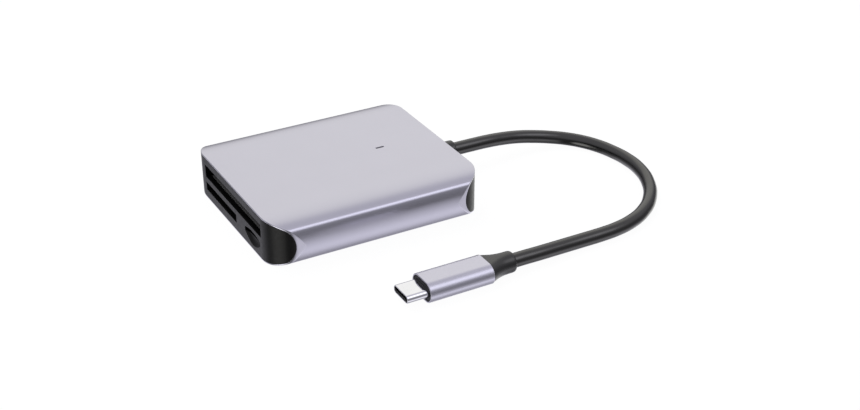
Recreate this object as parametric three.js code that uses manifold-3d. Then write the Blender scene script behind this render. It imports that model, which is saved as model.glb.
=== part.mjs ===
// Memory-card reader hub with three card slots and a captive USB-C lead.
// Millimetres, +Z up. The origin is the bottom centre of the body: X runs across the
// slots, the slot face looks along -Y and the lead leaves the middle of the +Y end.

import * as THREE from 'three';
import { mergeVertices } from 'three/addons/utils/BufferGeometryUtils.js';
import Module from 'manifold-3d';

const wasm = await Module();
wasm.setup();

const radians = (degrees) => (degrees * Math.PI) / 180;

// ---------------------------------------------------------------- driving dimensions

const BODY = { width: 64.5, length: 70.5, height: 14.7, planRadius: 9.9 };
const MID = BODY.height / 2;
const FRONT = -BODY.length / 2;
const REAR = BODY.length / 2;

// The body's cross-section: flat top and bottom, then a long shoulder that turns down
// tightly into a gently bowed side. The turn is an arc, and its angles are those of its
// normal from upright.
const SHOULDER = { length: 10.75, startHandle: 4.2, endHandle: 2.0 };
const TURN = { x: 29.47, rise: 3.83, radius: 2.2, from: radians(34), to: radians(66) };

const WALL = 0.45;
const FIT = 0.1;     // the gap between pieces that are pressed or glued together
const PAST = 1;      // how far a cutter runs past what it cuts
const SLIVER = 0.01; // the least length that a straight keeps between two arcs

const CAP = { frontWall: 1.7, rearWall: 2.2, skin: 1.0, depth: 11 };

const CFAST = { left: -21.1, right: 22.4, bottom: 7.6, top: 11.9 };
const SD = { left: -21.1, right: 3.3, bottom: 3.05, top: 5.85 };
const MICRO = { left: 10.0, right: 21.5, bottom: 4.05, top: 5.45 };
const SCOOP = { depth: 0.9, up: 1.05, down: 2.45, halfWidth: 5.7, lap: 0.1, outside: 0.5 };

const PCB = { halfWidth: 28, front: -31.5, rear: 31, bottom: 6.2, thick: 1.0, cornerRadius: 3.5 };
const PCB_TOP = PCB.bottom + PCB.thick;
const SCREW_X = 25;
const SCREW_Y = [2.5, 20];
const SCREW = { headRadius: 1.8, headHeight: 1.2, shaftRadius: 0.9, length: 3.6, tip: 0.6 };
const CROSS = { reach: 0.9, half: 0.18, depth: 0.6 };

const LED = { y: 15.3, width: 0.9, length: 3.0 };

const CORD_RADIUS = 2.2;
const CORD_GAP = 0.3;
const GLAND_END = 42.0;
const PLUG = { x: 62.8, z: 3.2, width: 11.0, height: 6.4, front: -4.3, rear: 16.4, reliefEnd: 25.4 };
const SHELL = { width: 8.34, height: 2.56, reach: 6.65, inside: 5.3, wall: 0.3 };

// The lead's route: straight out of the gland, down to the table and round in one
// loose bend to the back of the plug.
const CORD_ROUTE = [
  [0, GLAND_END + CORD_GAP, MID],
  [0, 48.7, 7.3],
  [-0.3, 55, 7.0],
  [-0.8, 61.5, 6.25],
  [-0.9, 67.8, 5.3],
  [-0.1, 73.8, 4.3],
  [1.5, 79.2, 3.45],
  [4.0, 84.0, 2.8],
  [7.7, 87.9, 2.4],
  [12.7, 90.8, 2.25],
  [18.7, 92.6, 2.25],
  [25.4, 93.5, 2.25],
  [33.1, 92.9, 2.25],
  [41.8, 89.9, 2.25],
  [50.5, 84.0, 2.25],
  [56.6, 76.6, 2.25],
  [59.8, 69.6, 2.25],
  [61.2, 63.2, 2.25],
  [61.6, 57.4, 2.25],
  [61.7, 51.9, 2.3],
  [61.9, 46.2, 2.45],
  [62.3, 40.5, 2.75],
  [62.7, 34.8, 3.05],
  [62.8, 29.4, 3.2],
  [PLUG.x, PLUG.reliefEnd + CORD_GAP, PLUG.z],
];
const CORD_STEPS = 20;
const CORD_SIDES = 10;
const PROFILE_STEPS = 7;

// ---------------------------------------------------------------- materials

const finish = (color, roughness, metalness) =>
  new THREE.MeshStandardMaterial({ color, roughness, metalness });

const ANODISED = finish(0xc9c8d2, 0.38, 0.9);
const BLACK_PLASTIC = finish(0x2c2c2d, 0.45, 0);
const CORD_RUBBER = finish(0x2f2f30, 0.5, 0);
const SMOKED_LENS = finish(0x3a3a3c, 0.2, 0);
const TRAY_PLASTIC = finish(0x3b3b3e, 0.6, 0);
const BOARD_GREEN = finish(0x14532d, 0.5, 0);
const SOCKET_PLASTIC = finish(0x1c1c1e, 0.6, 0);
const SPRING_STEEL = finish(0xb9bcc0, 0.3, 1);
const GOLD = finish(0xd9b25a, 0.3, 1);
const CHROME = finish(0xe8e9ea, 0.12, 1);
const CHIP_BLACK = finish(0x202124, 0.6, 0);
const FERRITE = finish(0x4a4a4d, 0.8, 0);
const TANTALUM = finish(0xc98b2b, 0.5, 0);
const LED_WHITE = finish(0xf2f0e2, 0.3, 0);
const WIRE_COLORS = [0xb3202a, 0x1d1d1f, 0x2f7d3b, 0xe6e6e6];

// ---------------------------------------------------------------- solids

function solid(geometry) {
  const bare = geometry.clone();
  bare.deleteAttribute('normal');
  bare.deleteAttribute('uv');
  const merged = mergeVertices(bare, 1e-4);
  const vertProperties = new Float32Array(merged.attributes.position.array);
  const triVerts = new Uint32Array(merged.index.array);
  return new wasm.Manifold(new wasm.Mesh({ numProp: 3, vertProperties, triVerts }));
}

function geometryOf(manifold) {
  const mesh = manifold.getMesh();
  const geometry = new THREE.BufferGeometry();
  geometry.setAttribute('position', new THREE.BufferAttribute(mesh.vertProperties, 3));
  geometry.setIndex(new THREE.BufferAttribute(mesh.triVerts, 1));
  geometry.computeVertexNormals();
  return geometry;
}

const join = (first, ...others) => others.reduce((sum, other) => sum.add(other), first);
const cut = (first, ...others) => others.reduce((rest, other) => rest.subtract(other), first);

function box(x0, x1, y0, y1, z0, z1) {
  const geometry = new THREE.BoxGeometry(x1 - x0, y1 - y0, z1 - z0);
  geometry.translate((x0 + x1) / 2, (y0 + y1) / 2, (z0 + z1) / 2);
  return solid(geometry);
}

// Extrudes a shape drawn in X,Y upwards from z0 to z1.
function standing(shape, z0, z1, curveSegments = 12) {
  const geometry = new THREE.ExtrudeGeometry(shape, { depth: z1 - z0, bevelEnabled: false, curveSegments });
  geometry.translate(0, 0, z0);
  return solid(geometry);
}

// Extrudes a shape drawn in X,Z backwards from y0 to y1.
function lying(shape, y0, y1, curveSegments = 12) {
  const geometry = new THREE.ExtrudeGeometry(shape, { depth: y1 - y0, bevelEnabled: false, curveSegments });
  geometry.rotateX(Math.PI / 2);
  geometry.translate(0, y1, 0);
  return solid(geometry);
}

// Extrudes a shape drawn in Y,Z sideways from x0 to x1.
function sideways(shape, x0, x1, curveSegments = 12) {
  const geometry = new THREE.ExtrudeGeometry(shape, { depth: x1 - x0, bevelEnabled: false, curveSegments });
  geometry.rotateX(Math.PI / 2);
  geometry.rotateZ(Math.PI / 2);
  geometry.translate(x0, 0, 0);
  return solid(geometry);
}

function upright(x, y, radius, z0, z1, sides = 20) {
  const geometry = new THREE.CylinderGeometry(radius, radius, z1 - z0, sides);
  geometry.rotateX(Math.PI / 2);
  geometry.translate(x, y, (z0 + z1) / 2);
  return solid(geometry);
}

function rod(x, z, radius, y0, y1, sides = 20) {
  const geometry = new THREE.CylinderGeometry(radius, radius, y1 - y0, sides);
  geometry.translate(x, (y0 + y1) / 2, z);
  return solid(geometry);
}

// Joins rings with the same number of points into one closed solid.
function loft(rings) {
  const count = rings[0].length;
  const points = rings.flat();
  const faces = [];
  for (let ring = 0; ring < rings.length - 1; ring += 1) {
    for (let i = 0; i < count; i += 1) {
      const a = ring * count + i;
      const b = ring * count + ((i + 1) % count);
      faces.push(a, b, b + count, a, b + count, a + count);
    }
  }
  const lastStart = (rings.length - 1) * count;
  for (let i = 1; i < count - 1; i += 1) {
    faces.push(0, i + 1, i, lastStart, lastStart + i, lastStart + i + 1);
  }
  const geometry = new THREE.BufferGeometry().setFromPoints(points);
  geometry.setIndex(faces);
  return solid(geometry);
}

// A ring in the plane y, shaped as a rectangle with rounded corners, for loft().
function softRing(x, y, z, width, height, radius, perCorner = 5) {
  const points = [];
  const corners = [[1, 1], [1, -1], [-1, -1], [-1, 1]];
  corners.forEach(([sx, sz], corner) => {
    const start = Math.PI / 2 - (corner * Math.PI) / 2;
    for (let i = 0; i <= perCorner; i += 1) {
      const angle = start - (i / perCorner) * (Math.PI / 2);
      const px = x + sx * (width / 2 - radius) + radius * Math.cos(angle);
      const pz = z + sz * (height / 2 - radius) + radius * Math.sin(angle);
      points.push(new THREE.Vector3(px, y, pz));
    }
  });
  return points;
}

function roundedShape(x0, x1, y0, y1, radius) {
  const shape = new THREE.Shape();
  shape.moveTo(x0 + radius, y0);
  shape.lineTo(x1 - radius, y0);
  shape.absarc(x1 - radius, y0 + radius, radius, -Math.PI / 2, 0);
  shape.lineTo(x1, y1 - radius);
  shape.absarc(x1 - radius, y1 - radius, radius, 0, Math.PI / 2);
  shape.lineTo(x0 + radius, y1);
  shape.absarc(x0 + radius, y1 - radius, radius, Math.PI / 2, Math.PI);
  shape.lineTo(x0, y0 + radius);
  shape.absarc(x0 + radius, y0 + radius, radius, Math.PI, 1.5 * Math.PI);
  return shape;
}

function polygon(points) {
  return new THREE.Shape(points.map(([x, y]) => new THREE.Vector2(x, y)));
}

// One quarter of the body's cross-section, moved inwards by an inset, from the middle
// of the side up to the flat top, as (x, rise above the middle).
function quarterProfile(inset) {
  const side = BODY.width / 2 - inset;
  const top = MID - inset;
  const radius = TURN.radius - inset;
  const onTurn = (angle) =>
    [TURN.x + radius * Math.sin(angle), TURN.rise + radius * Math.cos(angle)];
  const [lowX, lowRise] = onTurn(TURN.to);
  const [highX, highRise] = onTurn(TURN.from);
  const { startHandle, endHandle } = SHOULDER;
  const flat = BODY.width / 2 - SHOULDER.length;
  const quarter = new THREE.Path();
  quarter.moveTo(side, 0);
  quarter.quadraticCurveTo(side, lowRise - (side - lowX) * Math.tan(TURN.to), lowX, lowRise);
  quarter.absarc(TURN.x, TURN.rise, radius, Math.PI / 2 - TURN.to, Math.PI / 2 - TURN.from);
  quarter.bezierCurveTo(
    highX - endHandle * Math.cos(TURN.from), highRise + endHandle * Math.sin(TURN.from),
    flat + startHandle, top, flat, top,
  );
  return quarter.getPoints(PROFILE_STEPS);
}

// The body's whole cross-section, moved inwards by an inset.
function bodyProfile(inset) {
  const quarter = quarterProfile(inset);
  const mirrored = (signX, signZ) =>
    quarter.map(({ x, y }) => new THREE.Vector2(signX * x, MID + signZ * y));
  return new THREE.Shape([
    ...mirrored(1, 1), ...mirrored(-1, 1).reverse(),
    ...mirrored(-1, -1).slice(1), ...mirrored(1, -1).slice(1).reverse(),
  ]);
}

// The body's plan, moved inwards by an inset, as a block taller than the body.
function planBlock(inset) {
  const side = BODY.width / 2 - inset;
  const outline = roundedShape(-side, side, FRONT + inset, REAR - inset, BODY.planRadius - inset);
  return standing(outline, -PAST, BODY.height + PAST, 14);
}

// An upright bar with round ends where the status light is.
function ledBar(half, reach, z0, z1) {
  const outline = roundedShape(-half, half, LED.y - reach, LED.y + reach, half - SLIVER);
  return standing(outline, z0, z1, 5);
}

const slot = ({ left, right, bottom, top }, y0, y1) => box(left, right, y0, y1, bottom, top);

// ---------------------------------------------------------------- case

function housingSleeve() {
  const tube = cut(
    lying(bodyProfile(0), FRONT, REAR),
    lying(bodyProfile(WALL), FRONT - PAST, REAR + PAST),
  );
  const slit = ledBar(LED.width / 2, LED.length / 2, MID, BODY.height + PAST);
  return cut(tube.intersect(planBlock(-SLIVER)), slit);
}

// A cap that fills the sleeve's open end flush with the rounded corners.
function endCap(wall) {
  const inset = WALL + FIT;
  const plug = lying(bodyProfile(inset), FRONT, FRONT + CAP.depth).intersect(planBlock(0));
  const pocket = lying(bodyProfile(inset + CAP.skin), FRONT, FRONT + CAP.depth + PAST);
  return cut(plug, pocket.intersect(planBlock(wall)));
}

// The finger scoop: a shallow dish with a lens-shaped rim, at its deepest along the
// micro card slot. Each ring is the cutter's section at one X.
function fingerScoop() {
  const across = 12;
  const around = 4;
  const centre = (MICRO.left + MICRO.right) / 2;
  const { depth, up, down, halfWidth, lap, outside } = SCOOP;
  const rings = [];
  for (let i = 0; i <= across; i += 1) {
    const u = (2 * i) / across - 1;
    const x = centre + u * halfWidth;
    const spread = 1 - u ** 2;
    const sunk = lap + (depth - lap) * (1 - u ** 4);
    const half = (edge, reach) => {
      const points = [];
      for (let j = 0; j <= around; j += 1) {
        const share = j / around;
        const y = FRONT + sunk * (1 - share ** 2);
        points.push(new THREE.Vector3(x, y, edge + reach * spread * share));
      }
      points.push(new THREE.Vector3(x, FRONT - outside, edge + reach * spread));
      return points;
    };
    rings.push([...half(MICRO.top - lap, up).reverse(), ...half(MICRO.bottom + lap, -down)]);
  }
  return loft(rings);
}

function frontBezel() {
  const through = FRONT + CAP.frontWall + PAST;
  return cut(
    endCap(CAP.frontWall),
    slot(CFAST, FRONT - PAST, through),
    slot(SD, FRONT - PAST, through),
    slot(MICRO, FRONT - PAST, through),
    fingerScoop(),
  );
}

const GLAND_NECK = { width: 6.4, height: 5.4, radius: 2.0 };

function rearCap() {
  const { width, height, radius } = GLAND_NECK;
  const turned = endCap(CAP.rearWall).rotate([0, 0, 180]);
  const hole = roundedShape(
    -width / 2 - FIT, width / 2 + FIT,
    MID - height / 2 - FIT, MID + height / 2 + FIT, radius,
  );
  return cut(turned, lying(hole, REAR - CAP.rearWall - PAST, REAR + PAST, 5));
}

const PIPE = { gap: 0.06, bottom: 8.2, sunk: 0.2, flangeHalf: 1.1, flangeMore: 0.6, flangeThick: 1.0 };

function ledLightPipe() {
  const reach = LED.length / 2;
  const ceiling = BODY.height - WALL - FIT;
  return join(
    ledBar(LED.width / 2 - PIPE.gap, reach - PIPE.gap, PIPE.bottom, BODY.height - PIPE.sunk),
    ledBar(PIPE.flangeHalf, reach + PIPE.flangeMore, ceiling - PIPE.flangeThick, ceiling),
  );
}

const TRAY = { halfWidth: 26.5, halfLength: 23.8, bottom: 1.3, top: 2.3, cornerRadius: 3 };
const TRAY_RIB = { x: 26.0, half: 0.4, front: -5, rear: 18, top: 4.2 };
const TRAY_WINDOW = { halfWidth: 8, front: 4, rear: 18 };
const BOSS_RADIUS = 2.3;

function innerTray() {
  const { halfWidth, halfLength, bottom, top, cornerRadius } = TRAY;
  const { half, front, rear } = TRAY_RIB;
  const plan = roundedShape(-halfWidth, halfWidth, -halfLength, halfLength, cornerRadius);
  let tray = standing(plan, bottom, top, 5);
  for (const side of [-1, 1]) {
    const ribX = side * TRAY_RIB.x;
    tray = join(tray, box(ribX - half, ribX + half, front, rear, bottom, TRAY_RIB.top));
    for (const y of SCREW_Y) {
      tray = join(tray, upright(side * SCREW_X, y, BOSS_RADIUS, bottom, PCB.bottom));
      tray = cut(tray, upright(side * SCREW_X, y, SCREW.shaftRadius + FIT, top, PCB_TOP, 16));
    }
  }
  const hole = TRAY_WINDOW;
  return cut(tray, box(-hole.halfWidth, hole.halfWidth, hole.front, hole.rear, bottom - PAST, top + PAST));
}

// ---------------------------------------------------------------- board

const CABLE_NOTCH = { halfWidth: 3.5, front: 24 };

function mainPcb() {
  const { halfWidth, front, rear, bottom, cornerRadius } = PCB;
  const outline = roundedShape(-halfWidth, halfWidth, front, rear, cornerRadius);
  const notch = CABLE_NOTCH;
  let board = cut(
    standing(outline, bottom, PCB_TOP, 4),
    box(-notch.halfWidth, notch.halfWidth, notch.front, rear + PAST, bottom - PAST, PCB_TOP + PAST),
  );
  for (const x of [-SCREW_X, SCREW_X]) {
    for (const y of SCREW_Y) {
      board = cut(board, upright(x, y, SCREW.shaftRadius + 2 * FIT, bottom - PAST, PCB_TOP + PAST, 16));
    }
  }
  return board;
}

function pcbScrew(x, y) {
  const { headRadius, headHeight, shaftRadius, length, tip } = SCREW;
  const shaftEnd = PCB_TOP - length;
  const top = PCB_TOP + headHeight;
  const outline = [
    [0, shaftEnd - tip], [shaftRadius * 0.5, shaftEnd - tip], [shaftRadius, shaftEnd],
    [shaftRadius, PCB_TOP], [headRadius, PCB_TOP], [headRadius, PCB_TOP + headHeight * 0.5],
    [headRadius * 0.7, top], [0, top],
  ];
  const lathe = new THREE.LatheGeometry(outline.map(([r, z]) => new THREE.Vector2(r, z)), 16);
  lathe.rotateX(Math.PI / 2);
  lathe.translate(x, y, 0);
  const { reach, half, depth } = CROSS;
  return cut(
    solid(lathe),
    box(x - reach, x + reach, y - half, y + half, top - depth, top + PAST),
    box(x - half, x + half, y - reach, y + reach, top - depth, top + PAST),
  );
}

// A component on the board, with its upper edges chamfered.
function component(x, y, width, depth, height, chamfer = 0.15) {
  const ring = (inset, z) => [
    new THREE.Vector3(x - width / 2 + inset, y - depth / 2 + inset, z),
    new THREE.Vector3(x + width / 2 - inset, y - depth / 2 + inset, z),
    new THREE.Vector3(x + width / 2 - inset, y + depth / 2 - inset, z),
    new THREE.Vector3(x - width / 2 + inset, y + depth / 2 - inset, z),
  ];
  const top = PCB_TOP + height;
  return loft([ring(0, PCB_TOP), ring(0, top - chamfer), ring(chamfer, top)]);
}

// A row of leads that share one soldered bar.
function comb(count, firstX, pitch, width, outline, bar) {
  let row = bar;
  for (let i = 0; i < count; i += 1) {
    const x = firstX + i * pitch;
    row = join(row, sideways(polygon(outline), x - width / 2, x + width / 2));
  }
  return row;
}

// ---------------------------------------------------------------- CFast bay

const HEADER = { left: -22.0, right: 23.3, front: -8.2, rear: -1.5, top: 12.4 };
const TONGUE = { front: -13.2, bottom: 9.1, top: 10.3 };
const SIGNAL = { left: -18.6, right: -8.6, pins: 7 };
const POWER = { left: -5.4, right: 19.9, pins: 17 };
const PIN = { pitch: 1.27, width: 0.6, thick: 0.2, lift: 0.06, barBottom: 9.4, barTop: 10.0 };
const PIN_SLOT = { bottom: 10.3, top: 10.75, end: 0.4 };

function cfastHeader() {
  const { left, right, front, rear, top } = HEADER;
  let header = box(left, right, front, rear, PCB_TOP, top);
  for (const row of [SIGNAL, POWER]) {
    const tongue = box(row.left, row.right, TONGUE.front, front + PAST, TONGUE.bottom, TONGUE.top);
    const pinSlot = box(
      row.left + PIN_SLOT.end, row.right - PIN_SLOT.end,
      front - PAST, rear + PAST, PIN_SLOT.bottom, PIN_SLOT.top,
    );
    header = cut(join(header, tongue), pinSlot);
  }
  return header;
}

function cfastContacts({ left, right, pins }) {
  const bottom = PIN_SLOT.bottom + PIN.lift;
  const top = bottom + PIN.thick;
  const foot = PCB_TOP + PIN.lift;
  const tip = TONGUE.front + 0.3;
  const tail = HEADER.rear + 0.3;
  const centre = (left + right) / 2;
  const reach = ((pins - 1) * PIN.pitch) / 2;
  const outline = [
    [tip, bottom], [tail, bottom], [tail, foot],
    [tail + PIN.thick, foot], [tail + PIN.thick, top], [tip, top],
  ];
  const end = reach + PIN.width / 2;
  const bar = box(centre - end, centre + end, tail, tail + PIN.thick, PIN.barBottom, PIN.barTop);
  return comb(pins, centre - reach, PIN.pitch, PIN.width, outline, bar);
}

const GUIDE = { front: -32.2, lip: 1.4, leftOuter: -24.3, rightOuter: 25.6 };

// An L-shaped rail that guides one edge of the card.
function cfastGuide(inner, outer) {
  const lip = inner + Math.sign(inner - outer) * GUIDE.lip;
  const under = CFAST.top + FIT;
  const outline = polygon([
    [inner, PCB_TOP], [outer, PCB_TOP], [outer, HEADER.top], [lip, HEADER.top], [lip, under], [inner, under],
  ]);
  return lying(outline, GUIDE.front, HEADER.front - FIT);
}

const CARD_FLOOR = { bottom: 7.27, top: 7.55, front: -33.3, rear: -13.6 };

// The plate over the board's front that the card slides in on.
function cfastFloor() {
  const { front, rear, bottom, top } = CARD_FLOOR;
  return box(CFAST.left + FIT, CFAST.right - FIT, front, rear, bottom, top);
}

// ---------------------------------------------------------------- SD socket

const SD_SOCKET = { left: -24.2, right: 5.3, front: -32.4, rear: -9.0, stop: -12.2, bottom: 3.0, roof: 5.45 };
const SD_COVER = { left: -24.6, right: 5.7, front: -32.6, rear: -8.9, bottom: 2.65, thick: 0.25 };
const DETECT_POCKET = { left: -5, right: 3.0, rear: -10.3 };
const LOCK_POCKET = { left: -22.9, front: -22.4, rear: -13.6 };
const POCKET = { bottom: 2, top: 5.3 };
const SOCKET_TOP = PCB.bottom - 0.05;

function socketBase({ left, right, front, rear, stop, bottom, roof }, cavityLeft, cavityRight) {
  const block = box(left, right, front, rear, bottom, SOCKET_TOP);
  return cut(block, box(cavityLeft, cavityRight, front - PAST, stop, bottom - PAST, roof));
}

function sdSocketBase() {
  const { bottom, top } = POCKET;
  const side = FIT / 2;
  const detect = DETECT_POCKET;
  const lock = LOCK_POCKET;
  return cut(
    socketBase(SD_SOCKET, SD.left - side, SD.right + side),
    box(detect.left, detect.right, SD_SOCKET.stop - FIT, detect.rear, bottom, top),
    box(lock.left, SD.left, lock.front, lock.rear, bottom, top),
  );
}

// A pressed steel cover: a floor under the socket with both sides turned up, and two
// windows near its middle.
function socketShell({ left, right, front, rear, bottom, thick }) {
  const innerLeft = left + thick;
  const innerRight = right - thick;
  const outline = polygon([
    [left, bottom], [right, bottom], [right, SOCKET_TOP], [innerRight, SOCKET_TOP],
    [innerRight, bottom + thick], [innerLeft, bottom + thick], [innerLeft, SOCKET_TOP], [left, SOCKET_TOP],
  ]);
  const middle = (left + right) / 2;
  const [near, far] = [0.066, 0.286].map((share) => share * (right - left));
  const [y0, y1] = [0.45, 0.62].map((share) => front + (rear - front) * share);
  return cut(
    lying(outline, front, rear),
    box(middle - far, middle - near, y0, y1, bottom - PAST, bottom + PAST),
    box(middle + near, middle + far, y0, y1, bottom - PAST, bottom + PAST),
  );
}

const FINGER = { thick: 0.14, drop: 0.06, dip: 0.35, dipAt: 1.6, tipAt: 0.6, anchor: 0.4 };

// Sprung contact fingers below a socket's roof.
function socketContacts({ count, firstX, pitch, width, roof, rear, reach }) {
  const { thick, dip, dipAt, tipAt, anchor } = FINGER;
  const top = roof - FINGER.drop;
  const low = top - thick;
  const front = rear - reach;
  const outline = [
    [rear, top], [rear, low], [front + dipAt, low - dip], [front + tipAt, low - 0.05],
    [front, low], [front, top], [front + tipAt, top - 0.05], [front + dipAt, top - dip],
  ];
  const last = firstX + (count - 1) * pitch;
  const bar = box(firstX - width / 2, last + width / 2, rear - FIT, rear + anchor, low, top);
  return comb(count, firstX, pitch, width, outline, bar);
}

const SD_PINS = {
  count: 9, firstX: -18.9, pitch: 2.5, width: 1.0, roof: SD_SOCKET.roof, rear: -13.0, reach: 6,
};

const ARM = { bottom: 3.4, top: 5.1 };
const DETECT_ARM = {
  x: 2.4, y: -11.5, pivotRadius: 0.45, end: -4.2, padWidth: 1.0, padFront: 1.1, padRear: 0.2,
};
const LOCK_ARM = {
  x: -21.9, y: -14.3, pivotRadius: 0.4, left: 0.1, right: 0.3, length: 7.0, nose: 1.1, noseLength: 0.9,
};

// A lever that lies across the back of the socket and ends in a pad that the card meets.
function sdDetectArm() {
  const { x, y, pivotRadius, end, padWidth, padFront, padRear } = DETECT_ARM;
  const { bottom, top } = ARM;
  return join(
    upright(x, y, pivotRadius, bottom, top, 14),
    box(end, x, y - pivotRadius, y, bottom, top),
    box(end, end + padWidth, y - padFront, y - padRear, bottom, top),
  );
}

// A lever along the socket's side, with a nose that the card's lock tab pushes.
function sdLockArm() {
  const { x, y, pivotRadius, left, right, length, nose, noseLength } = LOCK_ARM;
  const { bottom, top } = ARM;
  return join(
    upright(x, y, pivotRadius, bottom, top, 14),
    box(x - left, x + right, y - length, y, bottom, top),
    box(x, x + nose, y - length, y - length + noseLength, bottom, top),
  );
}

// ---------------------------------------------------------------- micro SD socket

const MICRO_SOCKET = {
  left: 8.7, right: 25.0, front: -32.2, rear: -15.4, stop: -17.0, bottom: 4.0, roof: 5.5,
};
const MICRO_COVER = { left: 8.3, right: 25.4, front: -32.3, rear: -15.3, bottom: 3.6, thick: 0.2 };
const MICRO_PINS = {
  count: 8, firstX: 11.4, pitch: 1.1, width: 0.6, roof: MICRO_SOCKET.roof, rear: -17.6, reach: 4,
};
const CARRIAGE_SIDE = 24.3;
const SLIDER = { left: 22.2, right: 24.1, front: -29.2, rear: -24.2, bottom: 4.0, top: 5.35 };
const HOOK = { reach: 1.8, overlap: 0.5, thick: 1.0, lift: 0.1, drop: 0.15 };
const HEART_DEPTH = 0.4;
const SPRING_RADIUS = 0.55;

const microSdBase = () => socketBase(MICRO_SOCKET, MICRO.left, CARRIAGE_SIDE);

// The carriage that a micro card pushes back: a block with a hook behind the card's
// corner and the heart-shaped latch track in its underside.
function microSdSlider() {
  const { left, right, front, rear, bottom, top } = SLIDER;
  const heart = polygon([
    [left + 0.95, front + 0.8], [left + 1.45, front + 1.7], [left + 1.35, front + 3.4],
    [left + 0.95, front + 3.0], [left + 0.55, front + 3.4], [left + 0.45, front + 1.7],
  ]);
  const hook = box(
    left - HOOK.reach, left + HOOK.overlap, rear - HOOK.thick, rear, bottom + HOOK.lift, top - HOOK.drop,
  );
  return cut(
    join(box(left, right, front, rear, bottom, top), hook),
    standing(heart, bottom - PAST, bottom + HEART_DEPTH),
  );
}

function microSdSpring() {
  const x = (SLIDER.left + SLIDER.right) / 2;
  const z = (SLIDER.bottom + SLIDER.top) / 2;
  return rod(x, z, SPRING_RADIUS, SLIDER.rear + FIT, MICRO_SOCKET.stop - FIT, 12);
}

// ---------------------------------------------------------------- lead and plug

// A moulded collar: flared at its root, waisted, and rounded over at the end.
function collar(x, z, sections) {
  return loft(sections.map(([y, width, height, radius]) => softRing(x, y, z, width, height, radius)));
}

const GLAND_FLANGE = { width: 8.4, height: 6.8, radius: 2.2, thick: 1.2 };
const GLAND_INNER = REAR - CAP.rearWall - FIT;
const NECK_LAP = 0.5;

function cableGland() {
  const neck = GLAND_NECK;
  const flange = GLAND_FLANGE;
  const outerFace = REAR + FIT;
  return join(
    collar(0, MID, [
      [outerFace, 8.6, 6.8, 2.6], [REAR + 1.4, 7.4, 6.4, 2.9], [REAR + 3.0, 6.5, 6.2, 3.0],
      [GLAND_END - 0.7, 6.3, 6.3, 3.1], [GLAND_END - 0.2, 6.0, 6.0, 2.95], [GLAND_END, 5.4, 5.4, 2.65],
    ]),
    collar(0, MID, [
      [GLAND_INNER - NECK_LAP, neck.width, neck.height, neck.radius],
      [outerFace + NECK_LAP, neck.width, neck.height, neck.radius],
    ]),
    collar(0, MID, [
      [GLAND_INNER - flange.thick, flange.width, flange.height, flange.radius],
      [GLAND_INNER, flange.width, flange.height, flange.radius],
    ]),
  );
}

const TAIL = { radius: 2.1, start: 25 };
const CRIMP = { radius: 2.75, start: 28, length: 2.4 };

const cableTail = () => rod(0, MID, TAIL.radius, TAIL.start, GLAND_INNER - GLAND_FLANGE.thick - FIT, 16);

function cableCrimpRing() {
  const { radius, start, length } = CRIMP;
  return cut(
    rod(0, MID, radius, start, start + length, 20),
    rod(0, MID, TAIL.radius + FIT, start - PAST, start + length + PAST, 20),
  );
}

function tube(points, radius, sides, steps) {
  const route = points.map(([x, y, z]) => new THREE.Vector3(x, y, z));
  const path = new THREE.CatmullRomCurve3(route, false, 'centripetal');
  const section = new THREE.Shape();
  for (let i = 0; i < sides; i += 1) {
    const angle = ((i + 0.5) / sides) * 2 * Math.PI;
    const point = [radius * Math.cos(angle), radius * Math.sin(angle)];
    if (i === 0) section.moveTo(...point);
    else section.lineTo(...point);
  }
  return solid(new THREE.ExtrudeGeometry(section, { steps, extrudePath: path, bevelEnabled: false }));
}

const WIRE = { radius: 0.4, pitch: 0.9, padPitch: 2.4, start: 24.7, lift: 0.7 };

// One core of the lead, fanned out from the jacket's end to its pad on the board.
function leadWire(index) {
  const across = index - (WIRE_COLORS.length - 1) / 2;
  const x = WIRE.pitch * across;
  const pad = WIRE.padPitch * across;
  const z = MID + WIRE.lift;
  const route = [
    [x, WIRE.start, z], [x, WIRE.start - 0.9, z + 0.3],
    [pad, 21.6, 8.5], [pad, 20.2, 8.1], [pad, 19.2, 7.75],
  ];
  return tube(route, WIRE.radius, 8, 12);
}

const PLUG_WALL = 0.4;
const PLUG_RECESS = 0.25;
const CARD_BAY = { halfWidth: 4.1, halfHeight: 1.1, rear: 12.2, lap: 0.5 };
const SHELL_TIP = PLUG.front - SHELL.reach;
const SHELL_REAR = PLUG.front + SHELL.inside;

// Rings of the plug's body and of its metal shell at y, moved inwards by an inset.
function plugRing(y, inset) {
  const height = PLUG.height - 2 * inset;
  return softRing(PLUG.x, y, PLUG.z, PLUG.width - 2 * inset, height, height / 2, 8);
}

function shellRing(y, inset) {
  const height = SHELL.height - 2 * inset;
  return softRing(PLUG.x, y, PLUG.z, SHELL.width - 2 * inset, height, height / 2 - SLIVER, 6);
}

function plugSleeve() {
  return cut(
    loft([plugRing(PLUG.front, 0), plugRing(PLUG.rear, 0)]),
    loft([plugRing(PLUG.front - PAST, PLUG_WALL), plugRing(PLUG.rear + PAST, PLUG_WALL)]),
  );
}

function plugCore() {
  const { x, z } = PLUG;
  const inset = PLUG_WALL + FIT;
  const { halfWidth, halfHeight, rear, lap } = CARD_BAY;
  return cut(
    loft([plugRing(PLUG.front + PLUG_RECESS, inset), plugRing(PLUG.rear - 3 * FIT, inset)]),
    loft([shellRing(PLUG.front - PAST, -FIT), shellRing(SHELL_REAR + FIT, -FIT)]),
    box(x - halfWidth, x + halfWidth, SHELL_REAR - lap, rear, z - halfHeight, z + halfHeight),
  );
}

function usbCShell() {
  return cut(
    loft([shellRing(SHELL_TIP, 0), shellRing(SHELL_REAR, 0)]),
    loft([shellRing(SHELL_TIP - PAST, SHELL.wall), shellRing(SHELL_REAR + PAST, SHELL.wall)]),
  );
}

const MOUTH = { front: SHELL_TIP + 0.3, halfWidth: 3.45, halfHeight: 0.5, depth: 5.2 };

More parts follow.
